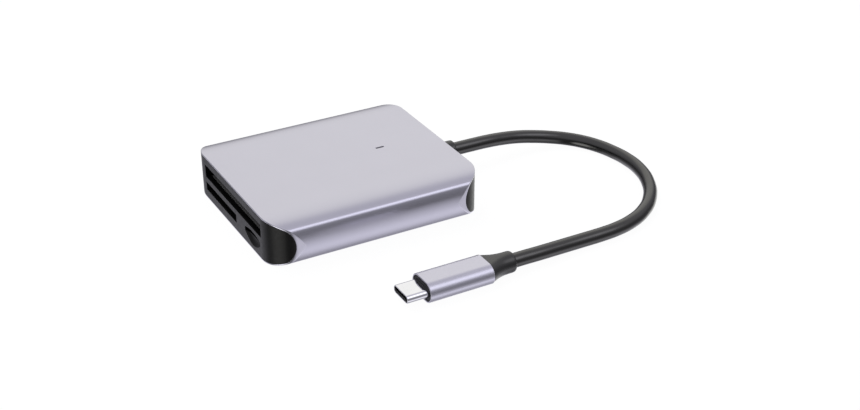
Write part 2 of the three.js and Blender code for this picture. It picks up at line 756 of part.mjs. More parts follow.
function usbCInsulator() {
  const { x, z } = PLUG;
  const inset = SHELL.wall + 0.8 * FIT;
  const { front, halfWidth, halfHeight, depth } = MOUTH;
  return cut(
    loft([shellRing(front, inset), shellRing(SHELL_REAR, inset)]),
    box(x - halfWidth, x + halfWidth, SHELL_TIP - PAST, front + depth, z - halfHeight, z + halfHeight),
  );
}

const USB_PIN = { count: 12, pitch: 0.5, width: 0.24, near: 0.32, far: 0.44, front: 1.4, barLength: 0.4 };

// The contacts on the upper (side 1) or lower (side -1) wall of the plug's mouth.
function usbCContacts(side) {
  const { x, z } = PLUG;
  const { count, pitch, width, near, far } = USB_PIN;
  const low = z + Math.min(side * near, side * far);
  const high = z + Math.max(side * near, side * far);
  const front = SHELL_TIP + USB_PIN.front;
  const rear = MOUTH.front + MOUTH.depth - FIT;
  const reach = ((count - 1) * pitch) / 2;
  const end = reach + width / 2;
  const outline = [[front, low], [rear, low], [rear, high], [front, high]];
  const bar = box(x - end, x + end, rear - USB_PIN.barLength, rear, low, high);
  return comb(count, x - reach, pitch, width, outline, bar);
}

const PLUG_BOARD = { halfWidth: 3.8, gap: 0.2, rear: 11.6, halfThick: 0.3 };

function plugPcb() {
  const { x, z } = PLUG;
  const { halfWidth, gap, rear, halfThick } = PLUG_BOARD;
  return box(x - halfWidth, x + halfWidth, SHELL_REAR + gap, rear, z - halfThick, z + halfThick);
}

function plugStrainRelief() {
  const start = PLUG.rear + FIT;
  const { x, z, reliefEnd: end } = PLUG;
  return collar(x, z, [
    [start, 10.6, 6.2, 3.05], [start + 1.2, 9.4, 6.1, 3.0], [start + 2.8, 8.0, 6.1, 3.0],
    [start + 4.6, 7.0, 6.2, 3.05], [start + 6.4, 6.6, 6.3, 3.1], [end - 0.8, 6.5, 6.3, 3.1],
    [end - 0.2, 6.1, 5.9, 2.9], [end, 5.4, 5.2, 2.55],
  ]);
}

// ---------------------------------------------------------------- assembly

const hub = new THREE.Group();

function add(name, shape, material) {
  const mesh = new THREE.Mesh(geometryOf(shape), material);
  mesh.name = name;
  hub.add(mesh);
}

add('housing_sleeve', housingSleeve(), ANODISED);
add('front_bezel', frontBezel(), BLACK_PLASTIC);
add('rear_cap', rearCap(), BLACK_PLASTIC);
add('led_light_pipe', ledLightPipe(), SMOKED_LENS);
add('inner_tray', innerTray(), TRAY_PLASTIC);
add('main_pcb', mainPcb(), BOARD_GREEN);

const screwPlaces = [-SCREW_X, SCREW_X].flatMap((x) => SCREW_Y.map((y) => [x, y]));
screwPlaces.forEach(([x, y], i) => add(`pcb_screw_${i + 1}`, pcbScrew(x, y), SPRING_STEEL));

add('cfast_header', cfastHeader(), SOCKET_PLASTIC);
add('cfast_signal_contacts', cfastContacts(SIGNAL), GOLD);
add('cfast_power_contacts', cfastContacts(POWER), GOLD);
add('cfast_guide_left', cfastGuide(CFAST.left, GUIDE.leftOuter), TRAY_PLASTIC);
add('cfast_guide_right', cfastGuide(CFAST.right, GUIDE.rightOuter), TRAY_PLASTIC);
add('cfast_card_floor', cfastFloor(), TRAY_PLASTIC);

add('sd_socket_base', sdSocketBase(), SOCKET_PLASTIC);
add('sd_socket_shell', socketShell(SD_COVER), SPRING_STEEL);
add('sd_contacts', socketContacts(SD_PINS), GOLD);
add('sd_detect_arm', sdDetectArm(), SPRING_STEEL);
add('sd_lock_arm', sdLockArm(), SPRING_STEEL);

add('micro_sd_base', microSdBase(), SOCKET_PLASTIC);
add('micro_sd_shell', socketShell(MICRO_COVER), SPRING_STEEL);
add('micro_sd_contacts', socketContacts(MICRO_PINS), GOLD);
add('micro_sd_slider', microSdSlider(), SOCKET_PLASTIC);
add('micro_sd_spring', microSdSpring(), SPRING_STEEL);

add('cfast_bridge_chip', component(-13, 8, 9, 9, 0.9), CHIP_BLACK);
add('card_reader_chip', component(11, 8, 7, 7, 1.0), CHIP_BLACK);
add('flash_chip', component(-13, 18, 5, 4, 1.5), CHIP_BLACK);
add('crystal_1', component(-4, 8, 3.2, 2.5, 0.8), SPRING_STEEL);
add('crystal_2', component(4, 5, 3.2, 2.5, 0.8), SPRING_STEEL);
add('power_inductor', component(18, 12, 5, 5, 2.2, 0.4), FERRITE);
add('regulator', component(12, 17, 3, 1.7, 1.2), CHIP_BLACK);
add('bulk_capacitor', component(-21, 12, 2.8, 3.5, 1.9), TANTALUM);
add('status_led', component(0, LED.y, 0.8, 1.6, 0.6), LED_WHITE);

add('cable_gland', cableGland(), CORD_RUBBER);
add('cable_tail', cableTail(), CORD_RUBBER);
add('cable_crimp_ring', cableCrimpRing(), SPRING_STEEL);
WIRE_COLORS.forEach((color, i) => add(`lead_wire_${i + 1}`, leadWire(i), finish(color, 0.5, 0)));
add('cable', tube(CORD_ROUTE, CORD_RADIUS, CORD_SIDES, CORD_STEPS), CORD_RUBBER);

add('plug_strain_relief', plugStrainRelief(), CORD_RUBBER);
add('plug_sleeve', plugSleeve(), ANODISED);
add('plug_core', plugCore(), BLACK_PLASTIC);
add('plug_pcb', plugPcb(), BOARD_GREEN);
add('usb_c_shell', usbCShell(), CHROME);
add('usb_c_insulator', usbCInsulator(), SOCKET_PLASTIC);
add('usb_c_contacts_upper', usbCContacts(1), GOLD);
add('usb_c_contacts_lower', usbCContacts(-1), GOLD);

export default hub;
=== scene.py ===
"""Looks of a memory-card reader hub with three card slots and a captive USB-C lead.

Metres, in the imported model's frame: X runs across the slots, the slot face looks
along -Y, the lead leaves the +Y end and +Z is up.
"""

import math

import bmesh
import bpy
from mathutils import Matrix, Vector


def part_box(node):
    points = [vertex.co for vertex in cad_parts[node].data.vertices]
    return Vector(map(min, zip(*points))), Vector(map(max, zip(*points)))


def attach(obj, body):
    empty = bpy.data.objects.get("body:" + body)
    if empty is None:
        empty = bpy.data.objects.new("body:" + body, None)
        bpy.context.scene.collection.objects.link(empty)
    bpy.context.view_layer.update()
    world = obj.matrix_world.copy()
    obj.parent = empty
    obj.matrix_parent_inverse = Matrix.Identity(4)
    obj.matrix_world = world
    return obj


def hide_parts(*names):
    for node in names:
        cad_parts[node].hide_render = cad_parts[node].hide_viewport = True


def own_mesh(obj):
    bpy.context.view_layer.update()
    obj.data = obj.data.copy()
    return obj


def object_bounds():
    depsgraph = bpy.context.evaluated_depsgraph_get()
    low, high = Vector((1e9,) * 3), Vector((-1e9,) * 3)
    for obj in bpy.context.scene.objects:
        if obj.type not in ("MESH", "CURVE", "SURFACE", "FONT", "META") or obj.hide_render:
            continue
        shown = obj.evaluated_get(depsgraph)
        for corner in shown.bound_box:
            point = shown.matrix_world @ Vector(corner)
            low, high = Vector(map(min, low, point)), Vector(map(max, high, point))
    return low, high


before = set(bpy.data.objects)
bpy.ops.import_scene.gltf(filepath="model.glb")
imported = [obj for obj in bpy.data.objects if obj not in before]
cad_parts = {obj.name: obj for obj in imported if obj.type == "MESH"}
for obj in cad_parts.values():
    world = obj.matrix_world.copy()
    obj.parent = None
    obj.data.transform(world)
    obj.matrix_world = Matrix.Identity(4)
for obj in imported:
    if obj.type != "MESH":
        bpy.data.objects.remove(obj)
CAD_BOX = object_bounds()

MM = 0.001

# ---- sizes from the frame

BODY_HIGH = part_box("housing_sleeve")[1]
HALF_WIDTH = BODY_HIGH.x
HALF_LENGTH = BODY_HIGH.y
HEIGHT = BODY_HIGH.z
MID = HEIGHT / 2

PLAN_RADIUS = 9.9 * MM
SHOULDER = {"length": 10.75 * MM, "start": 4.2 * MM, "end": 2.0 * MM}
TURN = {
    "x": 29.47 * MM, "rise": 3.83 * MM, "radius": 2.2 * MM,
    "from": math.radians(34), "to": math.radians(66),
}

SHELL_WALL = 0.42 * MM
SEAM = 0.03 * MM
CAP_SKIN = 1.0 * MM
FRONT_WALL = 1.7 * MM
REAR_WALL = 2.2 * MM
CAP_DEPTH = 11 * MM
EDGE = 0.16 * MM
PAST = 1 * MM  # how far a cutter reaches past the face it opens
HAIR = 1e-6  # the shortest length that counts

CFAST = {"x": (-21.1 * MM, 22.4 * MM), "z": (7.6 * MM, 11.9 * MM)}
SD = {"x": (-21.1 * MM, 3.3 * MM), "z": (3.05 * MM, 5.85 * MM)}
MICRO = {"x": (10.0 * MM, 21.5 * MM), "z": (4.05 * MM, 5.45 * MM)}
SCOOP = {
    "depth": 0.9 * MM, "up": 1.05 * MM, "down": 2.45 * MM, "half_width": 5.7 * MM,
    "lap": 0.1 * MM, "outside": 0.5 * MM, "across": 36, "around": 10,
}

GLAND_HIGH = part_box("cable_gland")[1]
PLUG_LOW, PLUG_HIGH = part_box("plug_sleeve")
PLUG_X = (PLUG_LOW.x + PLUG_HIGH.x) / 2
PLUG_Z = (PLUG_LOW.z + PLUG_HIGH.z) / 2
RELIEF_LOW, RELIEF_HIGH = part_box("plug_strain_relief")
SHELL_LOW, SHELL_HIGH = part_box("usb_c_shell")
BOARD_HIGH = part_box("main_pcb")[1]
LENS_LOW, LENS_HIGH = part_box("led_light_pipe")
LENS_Y = (LENS_LOW.y + LENS_HIGH.y) / 2
LENS_HALF = 0.45 * MM
LENS_REACH = 1.5 * MM

# ---- camera

CAMERA_PLACE = Vector((0.35169, -0.16310, 0.21346))
CAMERA_AZIMUTH = 60.8
CAMERA_ELEVATION = 29.13
CAMERA_LENS = 58.57


def make_camera():
    data = bpy.data.cameras.new("camera")
    data.lens = CAMERA_LENS
    data.clip_start = 0.01
    camera = bpy.data.objects.new("camera", data)
    camera.location = CAMERA_PLACE
    camera.rotation_euler = (math.radians(90 - CAMERA_ELEVATION), 0, math.radians(CAMERA_AZIMUTH))
    bpy.context.scene.collection.objects.link(camera)
    bpy.context.scene.camera = camera


make_camera()

# ---- materials


def add_node(tree, kind, values=(), links=(), operation=None):
    """A shader node with some sockets set to constants and others fed by outputs."""
    node = tree.nodes.new(kind)
    if operation:
        node.operation = operation
    for socket, value in dict(values).items():
        node.inputs[socket].default_value = value
    for socket, source in dict(links).items():
        tree.links.new(source, node.inputs[socket])
    return node


def fill_ramp(ramp, stops):
    """Sets a colour ramp from stops of (position, (r, g, b))."""
    while len(ramp.elements) < len(stops):
        ramp.elements.new(0.5)
    for element, (position, color) in zip(ramp.elements, stops):
        element.position = position
        element.color = (*color, 1)


MIDDLE = (0.3, 0.7)  # where most of a noise's values lie
WARM = (1.0, 0.99, 0.93, 1)  # a gloss that takes the studio's blue out of black mouldings


class Look:
    """One procedural material: a Principled shader and the nodes that feed it."""

    def __init__(self, name, color, roughness, metallic=0.0, **sockets):
        self.material = bpy.data.materials.new(name)
        self.material.use_nodes = True
        self.tree = self.material.node_tree
        self.shader = self.tree.nodes["Principled BSDF"]
        self.shader.inputs["Base Color"].default_value = (*color, 1)
        self.shader.inputs["Roughness"].default_value = roughness
        self.shader.inputs["Metallic"].default_value = metallic
        for socket, value in sockets.items():
            self.shader.inputs[socket.replace("_", " ")].default_value = value
        self.place = self.tree.nodes.new("ShaderNodeTexCoord").outputs["Object"]
        self.bump_before = None

    def feed(self, socket, output):
        self.tree.links.new(output, self.shader.inputs[socket])

    def stretched(self, scale):
        """Object coordinates scaled by three numbers, so a pattern runs along one axis."""
        node = add_node(self.tree, "ShaderNodeMapping", {"Scale": scale}, {"Vector": self.place})
        return node.outputs["Vector"]

    def noise(self, scale, detail, place=None):
        sizes = {"Scale": scale, "Detail": detail}
        node = add_node(self.tree, "ShaderNodeTexNoise", sizes, {"Vector": place or self.place})
        return node.outputs["Fac"]

    def colors(self, value, stops):
        """Base colour from a value, through stops of (position, (r, g, b))."""
        node = add_node(self.tree, "ShaderNodeValToRGB", links={"Fac": value})
        fill_ramp(node.color_ramp, stops)
        self.feed("Base Color", node.outputs["Color"])

    def roughness(self, value, low, high):
        """Roughness from low to high over the middle of a value's range."""
        span = {"From Min": MIDDLE[0], "From Max": MIDDLE[1], "To Min": low, "To Max": high}
        node = add_node(self.tree, "ShaderNodeMapRange", span, {"Value": value})
        self.feed("Roughness", node.outputs["Result"])

    def bump(self, value, strength, distance):
        """Relief on top of the relief given before."""
        links = {"Height": value}
        if self.bump_before:
            links["Normal"] = self.bump_before
        sizes = {"Strength": strength, "Distance": distance}
        node = add_node(self.tree, "ShaderNodeBump", sizes, links)
        self.bump_before = node.outputs["Normal"]
        self.feed("Normal", self.bump_before)


def tinted(color, amount):
    """Two versions of a colour, a little darker and a little lighter."""
    darker = tuple(c * (1 - amount) for c in color)
    lighter = tuple(c * (1 + amount) for c in color)
    return list(zip(MIDDLE, (darker, lighter)))


def anodised(name, color, rough):
    """Bead-blasted and anodised aluminium: an even satin with a very fine grain."""
    look = Look(name, color, rough, metallic=1.0)
    look.colors(look.noise(90, 2), tinted(color, 0.006))
    look.roughness(look.noise(700, 4), rough - 0.008, rough + 0.008)
    look.bump(look.noise(9000, 2), 0.02, 0.01 * MM)
    return look.material


def cut_aluminium():
    """The machined rim, finely turned and a shade brighter than the skin."""
    color = (0.68, 0.67, 0.735)
    look = Look("cut_aluminium", color, 0.22, metallic=1.0)
    look.colors(look.noise(400, 2), tinted(color, 0.02))
    look.bump(look.noise(6000, 2, look.stretched((1, 1, 0.05))), 0.08, 0.01 * MM)
    return look.material


def moulded_plastic(name, color, rough, grain=0.1, shine=0.5):
    """Injection-moulded plastic with a fine spark-eroded grain."""
    look = Look(name, color, rough, Specular_IOR_Level=shine, Specular_Tint=WARM)
    look.colors(look.noise(160, 3), tinted(color, 0.08))
    look.roughness(look.noise(900, 3), rough - 0.04, rough + 0.04)
    look.bump(look.noise(5200, 2), grain, 0.03 * MM)
    return look.material


def cord_rubber(name, color, rough, shine):
    """Soft TPE: a faint long ripple from extrusion over a fine matt grain."""
    look = Look(name, color, rough, IOR=1.6, Specular_IOR_Level=shine, Specular_Tint=WARM)
    look.colors(look.noise(120, 3), tinted(color, 0.08))
    look.roughness(look.noise(500, 3), rough - 0.05, rough + 0.05)
    look.bump(look.noise(160, 2), 0.06, 0.1 * MM)
    look.bump(look.noise(4200, 2), 0.08, 0.03 * MM)
    return look.material


def metal(name, color, rough, brushed=False):
    look = Look(name, color, rough, metallic=1.0)
    look.colors(look.noise(250, 3), tinted(color, 0.03))
    place = look.stretched((1, 0.04, 1)) if brushed else None
    look.bump(look.noise(5000, 2, place), 0.05, 0.01 * MM)
    look.roughness(look.noise(600, 3), rough * 0.85, rough * 1.15)
    return look.material


def smoked_lens():
    color = (0.035, 0.035, 0.04)
    look = Look("smoked_lens", color, 0.12, Coat_Weight=0.4)
    look.colors(look.noise(900, 2), tinted(color, 0.15))
    return look.material


def solder_mask():
    """Green lacquer over copper: the traces show as slightly raised, lighter lanes."""
    look = Look("solder_mask", (0.01, 0.12, 0.05), 0.32, Coat_Weight=0.3)
    pattern = {
        "Scale": 420, "Mortar Size": 0.12, "Color1": (0, 0, 0, 1),
        "Color2": (0.25, 0.25, 0.25, 1), "Mortar": (1, 1, 1, 1),
    }
    lanes = add_node(look.tree, "ShaderNodeTexBrick", pattern, {"Vector": look.place}).outputs["Color"]
    look.colors(lanes, [(0.1, (0.006, 0.085, 0.035)), (0.9, (0.018, 0.17, 0.07))])
    look.bump(lanes, 0.15, 0.03 * MM)
    look.bump(look.noise(1500, 3), 0.05, 0.02 * MM)
    return look.material


def led_lens():
    color = (0.9, 0.86, 0.62)
    look = Look("led_lens", color, 0.25)
    look.colors(look.noise(2500, 2), tinted(color, 0.06))
    return look.material


ANODISED = anodised("anodised_aluminium", (0.655, 0.645, 0.715), 0.285)
# The plug's aluminium is the body's anodised finish with a lighter colour: painted light that stands in
# for more light falling on the plug's metal.
PLUG_ALUMINIUM_PAINTED_LIGHTER = anodised("plug_aluminium_painted_lighter", (0.71, 0.7, 0.775), 0.33)
CUT_EDGE = cut_aluminium()
BLACK_PLASTIC = moulded_plastic("black_plastic", (0.004, 0.004, 0.004), 0.36, grain=0.05, shine=0.29)
CORE_PLASTIC = moulded_plastic("core_plastic", (0.014, 0.014, 0.015), 0.38, shine=0.12)
CABLE_RUBBER = cord_rubber("cable_rubber", (0.002, 0.002, 0.002), 0.19, shine=0.88)
BOOT_RUBBER = cord_rubber("boot_rubber", (0.021, 0.021, 0.021), 0.25, shine=0.62)
SMOKED_LENS = smoked_lens()
TRAY_PLASTIC = moulded_plastic("tray_plastic", (0.045, 0.045, 0.05), 0.5)
GUIDE_PLASTIC = moulded_plastic("guide_plastic", (0.03, 0.03, 0.033), 0.45)
FLOOR_PLASTIC = moulded_plastic("card_floor_plastic", (0.2, 0.2, 0.19), 0.55)
SOCKET_PLASTIC = moulded_plastic("socket_plastic", (0.012, 0.012, 0.013), 0.5)
CHIP_BLACK = moulded_plastic("chip_black", (0.018, 0.018, 0.02), 0.55, grain=0.2)
FERRITE = moulded_plastic("ferrite", (0.07, 0.07, 0.075), 0.75, grain=0.3)
TANTALUM = moulded_plastic("tantalum", (0.55, 0.27, 0.04), 0.45)
CERAMIC = moulded_plastic("ceramic", (0.25, 0.17, 0.11), 0.5)
BOARD_GREEN = solder_mask()
SPRING_STEEL = metal("spring_steel", (0.56, 0.57, 0.58), 0.28, brushed=True)
GOLD = metal("gold_contact", (0.85, 0.62, 0.28), 0.22)
CHROME = metal("chrome_shell", (0.93, 0.93, 0.94), 0.07)
SOLDER = metal("solder", (0.75, 0.75, 0.77), 0.3)
LED_WHITE = led_lens()
WIRE_LOOKS = {
    name: moulded_plastic(name, color, 0.35)
    for name, color in (
        ("wire_red", (0.45, 0.015, 0.02)), ("wire_black", (0.015, 0.015, 0.016)),
        ("wire_green", (0.03, 0.2, 0.05)), ("wire_white", (0.75, 0.75, 0.74)),
    )
}

# ---- mesh helpers


def place_mesh(name, build, looks, angle=35):
    """A new object from a bmesh, with outward faces, smooth but for edges above the angle."""
    bmesh.ops.recalc_face_normals(build, faces=build.faces)
    mesh = bpy.data.meshes.new(name)
    build.to_mesh(mesh)
    build.free()
    for look in looks:
        mesh.materials.append(look)
    mesh.polygons.foreach_set("use_smooth", [True] * len(mesh.polygons))
    mesh.set_sharp_from_angle(angle=math.radians(angle))
    piece = bpy.data.objects.new(name, mesh)
    bpy.context.scene.collection.objects.link(piece)
    return piece


def stand_for(piece, slot, *nodes, body="hub"):
    """The piece rides on a body in place of CAD nodes, which it hides; its slot is not used."""
    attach(piece, body)
    if nodes:
        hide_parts(*nodes)
    return piece


def soften(piece, width, angle=40):
    """Rounds the sharp edges, then evens out the shading of the flat faces beside them."""
    bevel = piece.modifiers.new("rounded_edges", "BEVEL")
    bevel.width = width
    bevel.segments = 2
    bevel.limit_method = "ANGLE"
    bevel.angle_limit = math.radians(angle)
    bevel.harden_normals = False
    even_shading(piece)


def even_shading(piece):
    weighted = piece.modifiers.new("even_shading", "WEIGHTED_NORMAL")
    weighted.keep_sharp = True


def cut_out(piece, cutters):
    """Takes the cutters' volumes out of a piece for good and deletes them."""
    for cutter in cutters:
        boolean = piece.modifiers.new("cut", "BOOLEAN")
        boolean.operation = "DIFFERENCE"
        boolean.solver = "EXACT"
        boolean.object = cutter
    graph = bpy.context.evaluated_depsgraph_get()
    made = bpy.data.meshes.new_from_object(piece.evaluated_get(graph))
    piece.modifiers.clear()
    piece.data = made
    for cutter in cutters:
        bpy.data.objects.remove(cutter)


def ring_of(build, points):
    return [build.verts.new(point) for point in points]


def bridge(build, first, second, material=0):
    """Faces between two closed rings with the same number of vertices."""
    count = len(first)
    for i in range(count):
        after = (i + 1) % count
        face = build.faces.new((first[i], first[after], second[after], second[i]))
        face.material_index = material


def skin(build, rings):
    """Faces between each ring of vertices and the next."""
    for first, second in zip(rings, rings[1:]):
        bridge(build, first, second)


def fan(build, ring, centre):
    """Closes a ring of vertices with triangles to a point."""
    middle = build.verts.new(centre)
    for i, vert in enumerate(ring):
        build.faces.new((middle, vert, ring[(i + 1) % len(ring)]))


def around(x, y, z, radii):
    """Level points round an upright line, one for each radius."""
    turns = [2 * math.pi * i / len(radii) for i in range(len(radii))]
    return [(x + r * math.cos(a), y + r * math.sin(a), z) for r, a in zip(radii, turns)]


def loft(name, rings, looks, angle=35, closed_ends=True):
    """Skins a list of rings, and closes the first and last with a face or joins the two."""
    build = bmesh.new()
    made = [ring_of(build, points) for points in rings]
    skin(build, made)
    if closed_ends:
        build.faces.new(made[0])
        build.faces.new(made[-1])
    else:
        bridge(build, made[-1], made[0])
    return place_mesh(name, build, looks, angle)


BOX_QUADS = ((0, 1, 3, 2), (4, 6, 7, 5), (0, 4, 5, 1), (2, 3, 7, 6), (0, 2, 6, 4), (1, 5, 7, 3))


def box_into(build, low, high, material=0):
    """Adds an axis-aligned box to a bmesh."""
    xs, ys, zs = zip(low, high)
    corners = [build.verts.new((x, y, z)) for x in xs for y in ys for z in zs]
    for quad in BOX_QUADS:
        face = build.faces.new([corners[i] for i in quad])
        face.material_index = material


def box_cutter(name, x, y, z):
    """A box without a look, from the stretch it fills on each axis."""
    build = bmesh.new()
    box_into(build, *zip(x, y, z))
    return place_mesh(name, build, [])


def soft_ring(x, y, z, width, height, radius, per_corner=12):
    """A rectangle with rounded corners in the plane y."""
    radius = min(radius, width / 2 - HAIR, height / 2 - HAIR)
    points = []
    for corner, (sx, sz) in enumerate([(1, 1), (1, -1), (-1, -1), (-1, 1)]):
        start = math.pi / 2 - corner * math.pi / 2
        for i in range(per_corner + 1):
            turn = start - i / per_corner * math.pi / 2
            across = x + sx * (width / 2 - radius) + radius * math.cos(turn)
            points.append((across, y, z + sz * (height / 2 - radius) + radius * math.sin(turn)))
    return points


def catmull(a, b, c, d, t):
    """A point between b and c on a smooth curve through four sets of numbers."""
    return [
        0.5 * (2 * q + (r - p) * t + (2 * p - 5 * q + 4 * r - s) * t**2 + (3 * q - p - 3 * r + s) * t**3)
        for p, q, r, s in zip(a, b, c, d)
    ]


def smooth_sections(sections, steps):
    """Fills in a collar's sections with a smooth curve through them."""
    padded = [sections[0], *sections, sections[-1]]
    filled = []
    for a, b, c, d in zip(padded, padded[1:], padded[2:], padded[3:]):
        filled += [catmull(a, b, c, d, i / steps) for i in range(steps)]
    return [*filled, sections[-1]]


def revolve(build, outline, x, y, sides):
    """A solid turned about an upright line, from (radius, z) points that start and end on it."""
    rings = [ring_of(build, around(x, y, z, [radius] * sides)) for radius, z in outline[1:-1]]
    skin(build, rings)
    fan(build, rings[0], (x, y, outline[0][1]))
    fan(build, rings[-1], (x, y, outline[-1][1]))


def round_curve(name, points, radius, look):
    """A round cord, smooth through its points."""
    data = bpy.data.curves.new(name, "CURVE")
    data.dimensions = "3D"
    data.bevel_depth = radius
    data.bevel_resolution = 8
    data.resolution_u = 14
    data.use_fill_caps = True
    spline = data.splines.new("BEZIER")
    spline.bezier_points.add(len(points) - 1)
    for knot, point in zip(spline.bezier_points, points):
        knot.co = point
        knot.handle_left_type = "AUTO"
        knot.handle_right_type = "AUTO"
    data.materials.append(look)
    piece = bpy.data.objects.new(name, data)
    bpy.context.scene.collection.objects.link(piece)
    return piece


# ---- lead

CORD_RADIUS = 2.2 * MM
CORD_ROUTE = [
    (0, 42.3, 7.35), (0, 48.7, 7.3), (-0.3, 55, 7.0), (-0.8, 61.5, 6.25), (-0.9, 67.8, 5.3),
    (-0.1, 73.8, 4.3), (1.5, 79.2, 3.45), (4.0, 84.0, 2.8), (7.7, 87.9, 2.4), (12.7, 90.8, 2.25),
    (18.7, 92.6, 2.25), (25.4, 93.5, 2.25), (33.1, 92.9, 2.25), (41.8, 89.9, 2.25),
    (50.5, 84.0, 2.25), (56.6, 76.6, 2.25), (59.8, 69.6, 2.25), (61.2, 63.2, 2.25),
    (61.6, 57.4, 2.25), (61.7, 51.9, 2.3), (61.9, 46.2, 2.45), (62.3, 40.5, 2.75),
    (62.7, 34.8, 3.05), (62.8, 29.4, 3.2), (62.8, 25.7, 3.2),
]
INSERT = 0.5 * MM  # how far each end of the cord reaches into its boot

# The boots, as sections of (y, width, height, corner radius) in millimetres, with y counted
# from the boot's root or from its tip.
NECK = (6.4, 5.4, 2.0)
GLAND_FLANGE = [(-1.2, 8.4, 6.8, 2.2), (0, 8.4, 6.8, 2.2), (0, *NECK)]
GLAND_ROOT = [(0, 8.5, 6.7, 2.6), (0.15, 8.6, 6.8, 2.7), (1.2, 7.4, 6.4, 2.9), (2.8, 6.5, 6.2, 3.0)]
GLAND_TIP = [(-0.7, 6.3, 6.3, 3.1), (-0.2, 6.0, 6.0, 2.95), (0, 5.4, 5.4, 2.65)]
GLAND_GAP = {"root": 0.05 * MM, "flange": 0.15 * MM}
RELIEF_ROOT = [
    (-0.1, 10.2, 5.8, 2.9), (0.05, 10.5, 6.1, 3.05), (1.2, 9.4, 6.1, 3.0),
    (2.8, 8.0, 6.1, 3.0), (4.6, 7.0, 6.2, 3.05), (6.4, 6.6, 6.3, 3.1),
]
RELIEF_TIP = [(-0.8, 6.5, 6.3, 3.1), (-0.2, 6.1, 5.9, 2.9), (0, 5.4, 5.2, 2.55)]
MOUTH = {"play": 0.12 * MM, "lip": 0.3 * MM, "rounding": 0.12 * MM, "past": 0.6 * MM}
SMOOTH_STEPS = 6


def make_cable():
    route = [Vector(point) * MM for point in CORD_ROUTE]
    ends = [route[0] - Vector((0, INSERT, 0)), route[-1] - Vector((0, INSERT, 0))]
    cable = round_curve("usb_lead", [ends[0], *route, ends[1]], CORD_RADIUS, CABLE_RUBBER)
    return stand_for(cable, "cord_rubber", "cable")


def placed(sections, y):
    """Boot sections in metres, moved along to y."""
    return [(y + offset * MM, *[size * MM for size in sizes]) for offset, *sizes in sections]


def collar(name, x, z, sections, node, flange=()):
    """A moulded boot: smooth through its sections, with a rounded lip round the cord at its end."""
    end = sections[-1][0]
    hole = 2 * CORD_RADIUS + MOUTH["play"]
    lip = hole + MOUTH["lip"]
    mouth = [
        (end, lip, lip, hole), (end - MOUTH["rounding"], hole, hole, hole),
        (end - INSERT - MOUTH["past"], hole, hole, hole),
    ]
    outline = [*flange, *smooth_sections(sections, SMOOTH_STEPS), *mouth]
    rings = [soft_ring(x, y, z, width, height, radius) for y, width, height, radius in outline]
    piece = loft(name, rings, [BOOT_RUBBER], 40)
    even_shading(piece)
    return stand_for(piece, "cord_rubber", node)


def make_gland():
    root = HALF_LENGTH + GLAND_GAP["root"]
    inner = HALF_LENGTH - REAR_WALL - GLAND_GAP["flange"]
    flange = [*placed(GLAND_FLANGE, inner), *placed([(0, *NECK)], root)]
    sections = [*placed(GLAND_ROOT, root), *placed(GLAND_TIP, GLAND_HIGH.y)]
    return collar("cable_gland_boot", 0, MID, sections, "cable_gland", flange)


def make_strain_relief():
    sections = [*placed(RELIEF_ROOT, RELIEF_LOW.y), *placed(RELIEF_TIP, RELIEF_HIGH.y)]
    return collar("plug_boot", PLUG_X, PLUG_Z, sections, "plug_strain_relief")


# ---- plug

PLUG_WALL = 0.4 * MM
PLUG_RECESS = 0.2 * MM
SHEET = 0.3 * MM
TUBE_EDGE = {"plug": 0.14 * MM, "shell": 0.1 * MM}
CORE = {"edge": 0.12 * MM, "short": 0.1 * MM, "play": 0.08 * MM, "behind": 0.1 * MM}
BAY = {"half_width": 4.1 * MM, "half_height": 1.1 * MM, "lap": 0.5 * MM, "rear": 12.2 * MM}


def rolled_edge(radius):
    """A quarter round from a side to an end, as (inset from the side, distance from the end)."""
    turns = [i / 4 * math.pi / 2 for i in range(5)]
    return [(radius * (1 - math.cos(a)), radius * (1 - math.sin(a))) for a in turns]


def broken_edge(size):
    """A two-step chamfer from an end to a side, as (inset from the side, distance from the end)."""
    return [(size, 0), (size * 0.3, size * 0.3), (0, size)]


def stadium(size, inset, y, per_corner=16):
    """A ring with half-round sides about the plug's axis, moved in by an inset."""
    width = size[0] - 2 * inset
    height = size[1] - 2 * inset
    return soft_ring(PLUG_X, y, PLUG_Z, width, height, size[1] / 2 - inset, per_corner)


def rounded_tube(name, low, high, wall, edge, look, node, slot):
    """A tube that fills a box, with its outer and inner end edges rolled over."""
    size = (high.x - low.x, high.z - low.z)
    rolled = rolled_edge(edge)
    outline = [(inset, low.y + reach) for inset, reach in rolled]
    outline += [(wall - inset, low.y + reach) for inset, reach in reversed(rolled)]
    outline += [(wall - inset, high.y - reach) for inset, reach in rolled]
    outline += [(inset, high.y - reach) for inset, reach in reversed(rolled)]
    rings = [stadium(size, inset, y) for inset, y in outline]
    piece = loft(name, rings, [look], 50, closed_ends=False)
    even_shading(piece)
    return stand_for(piece, slot, node)


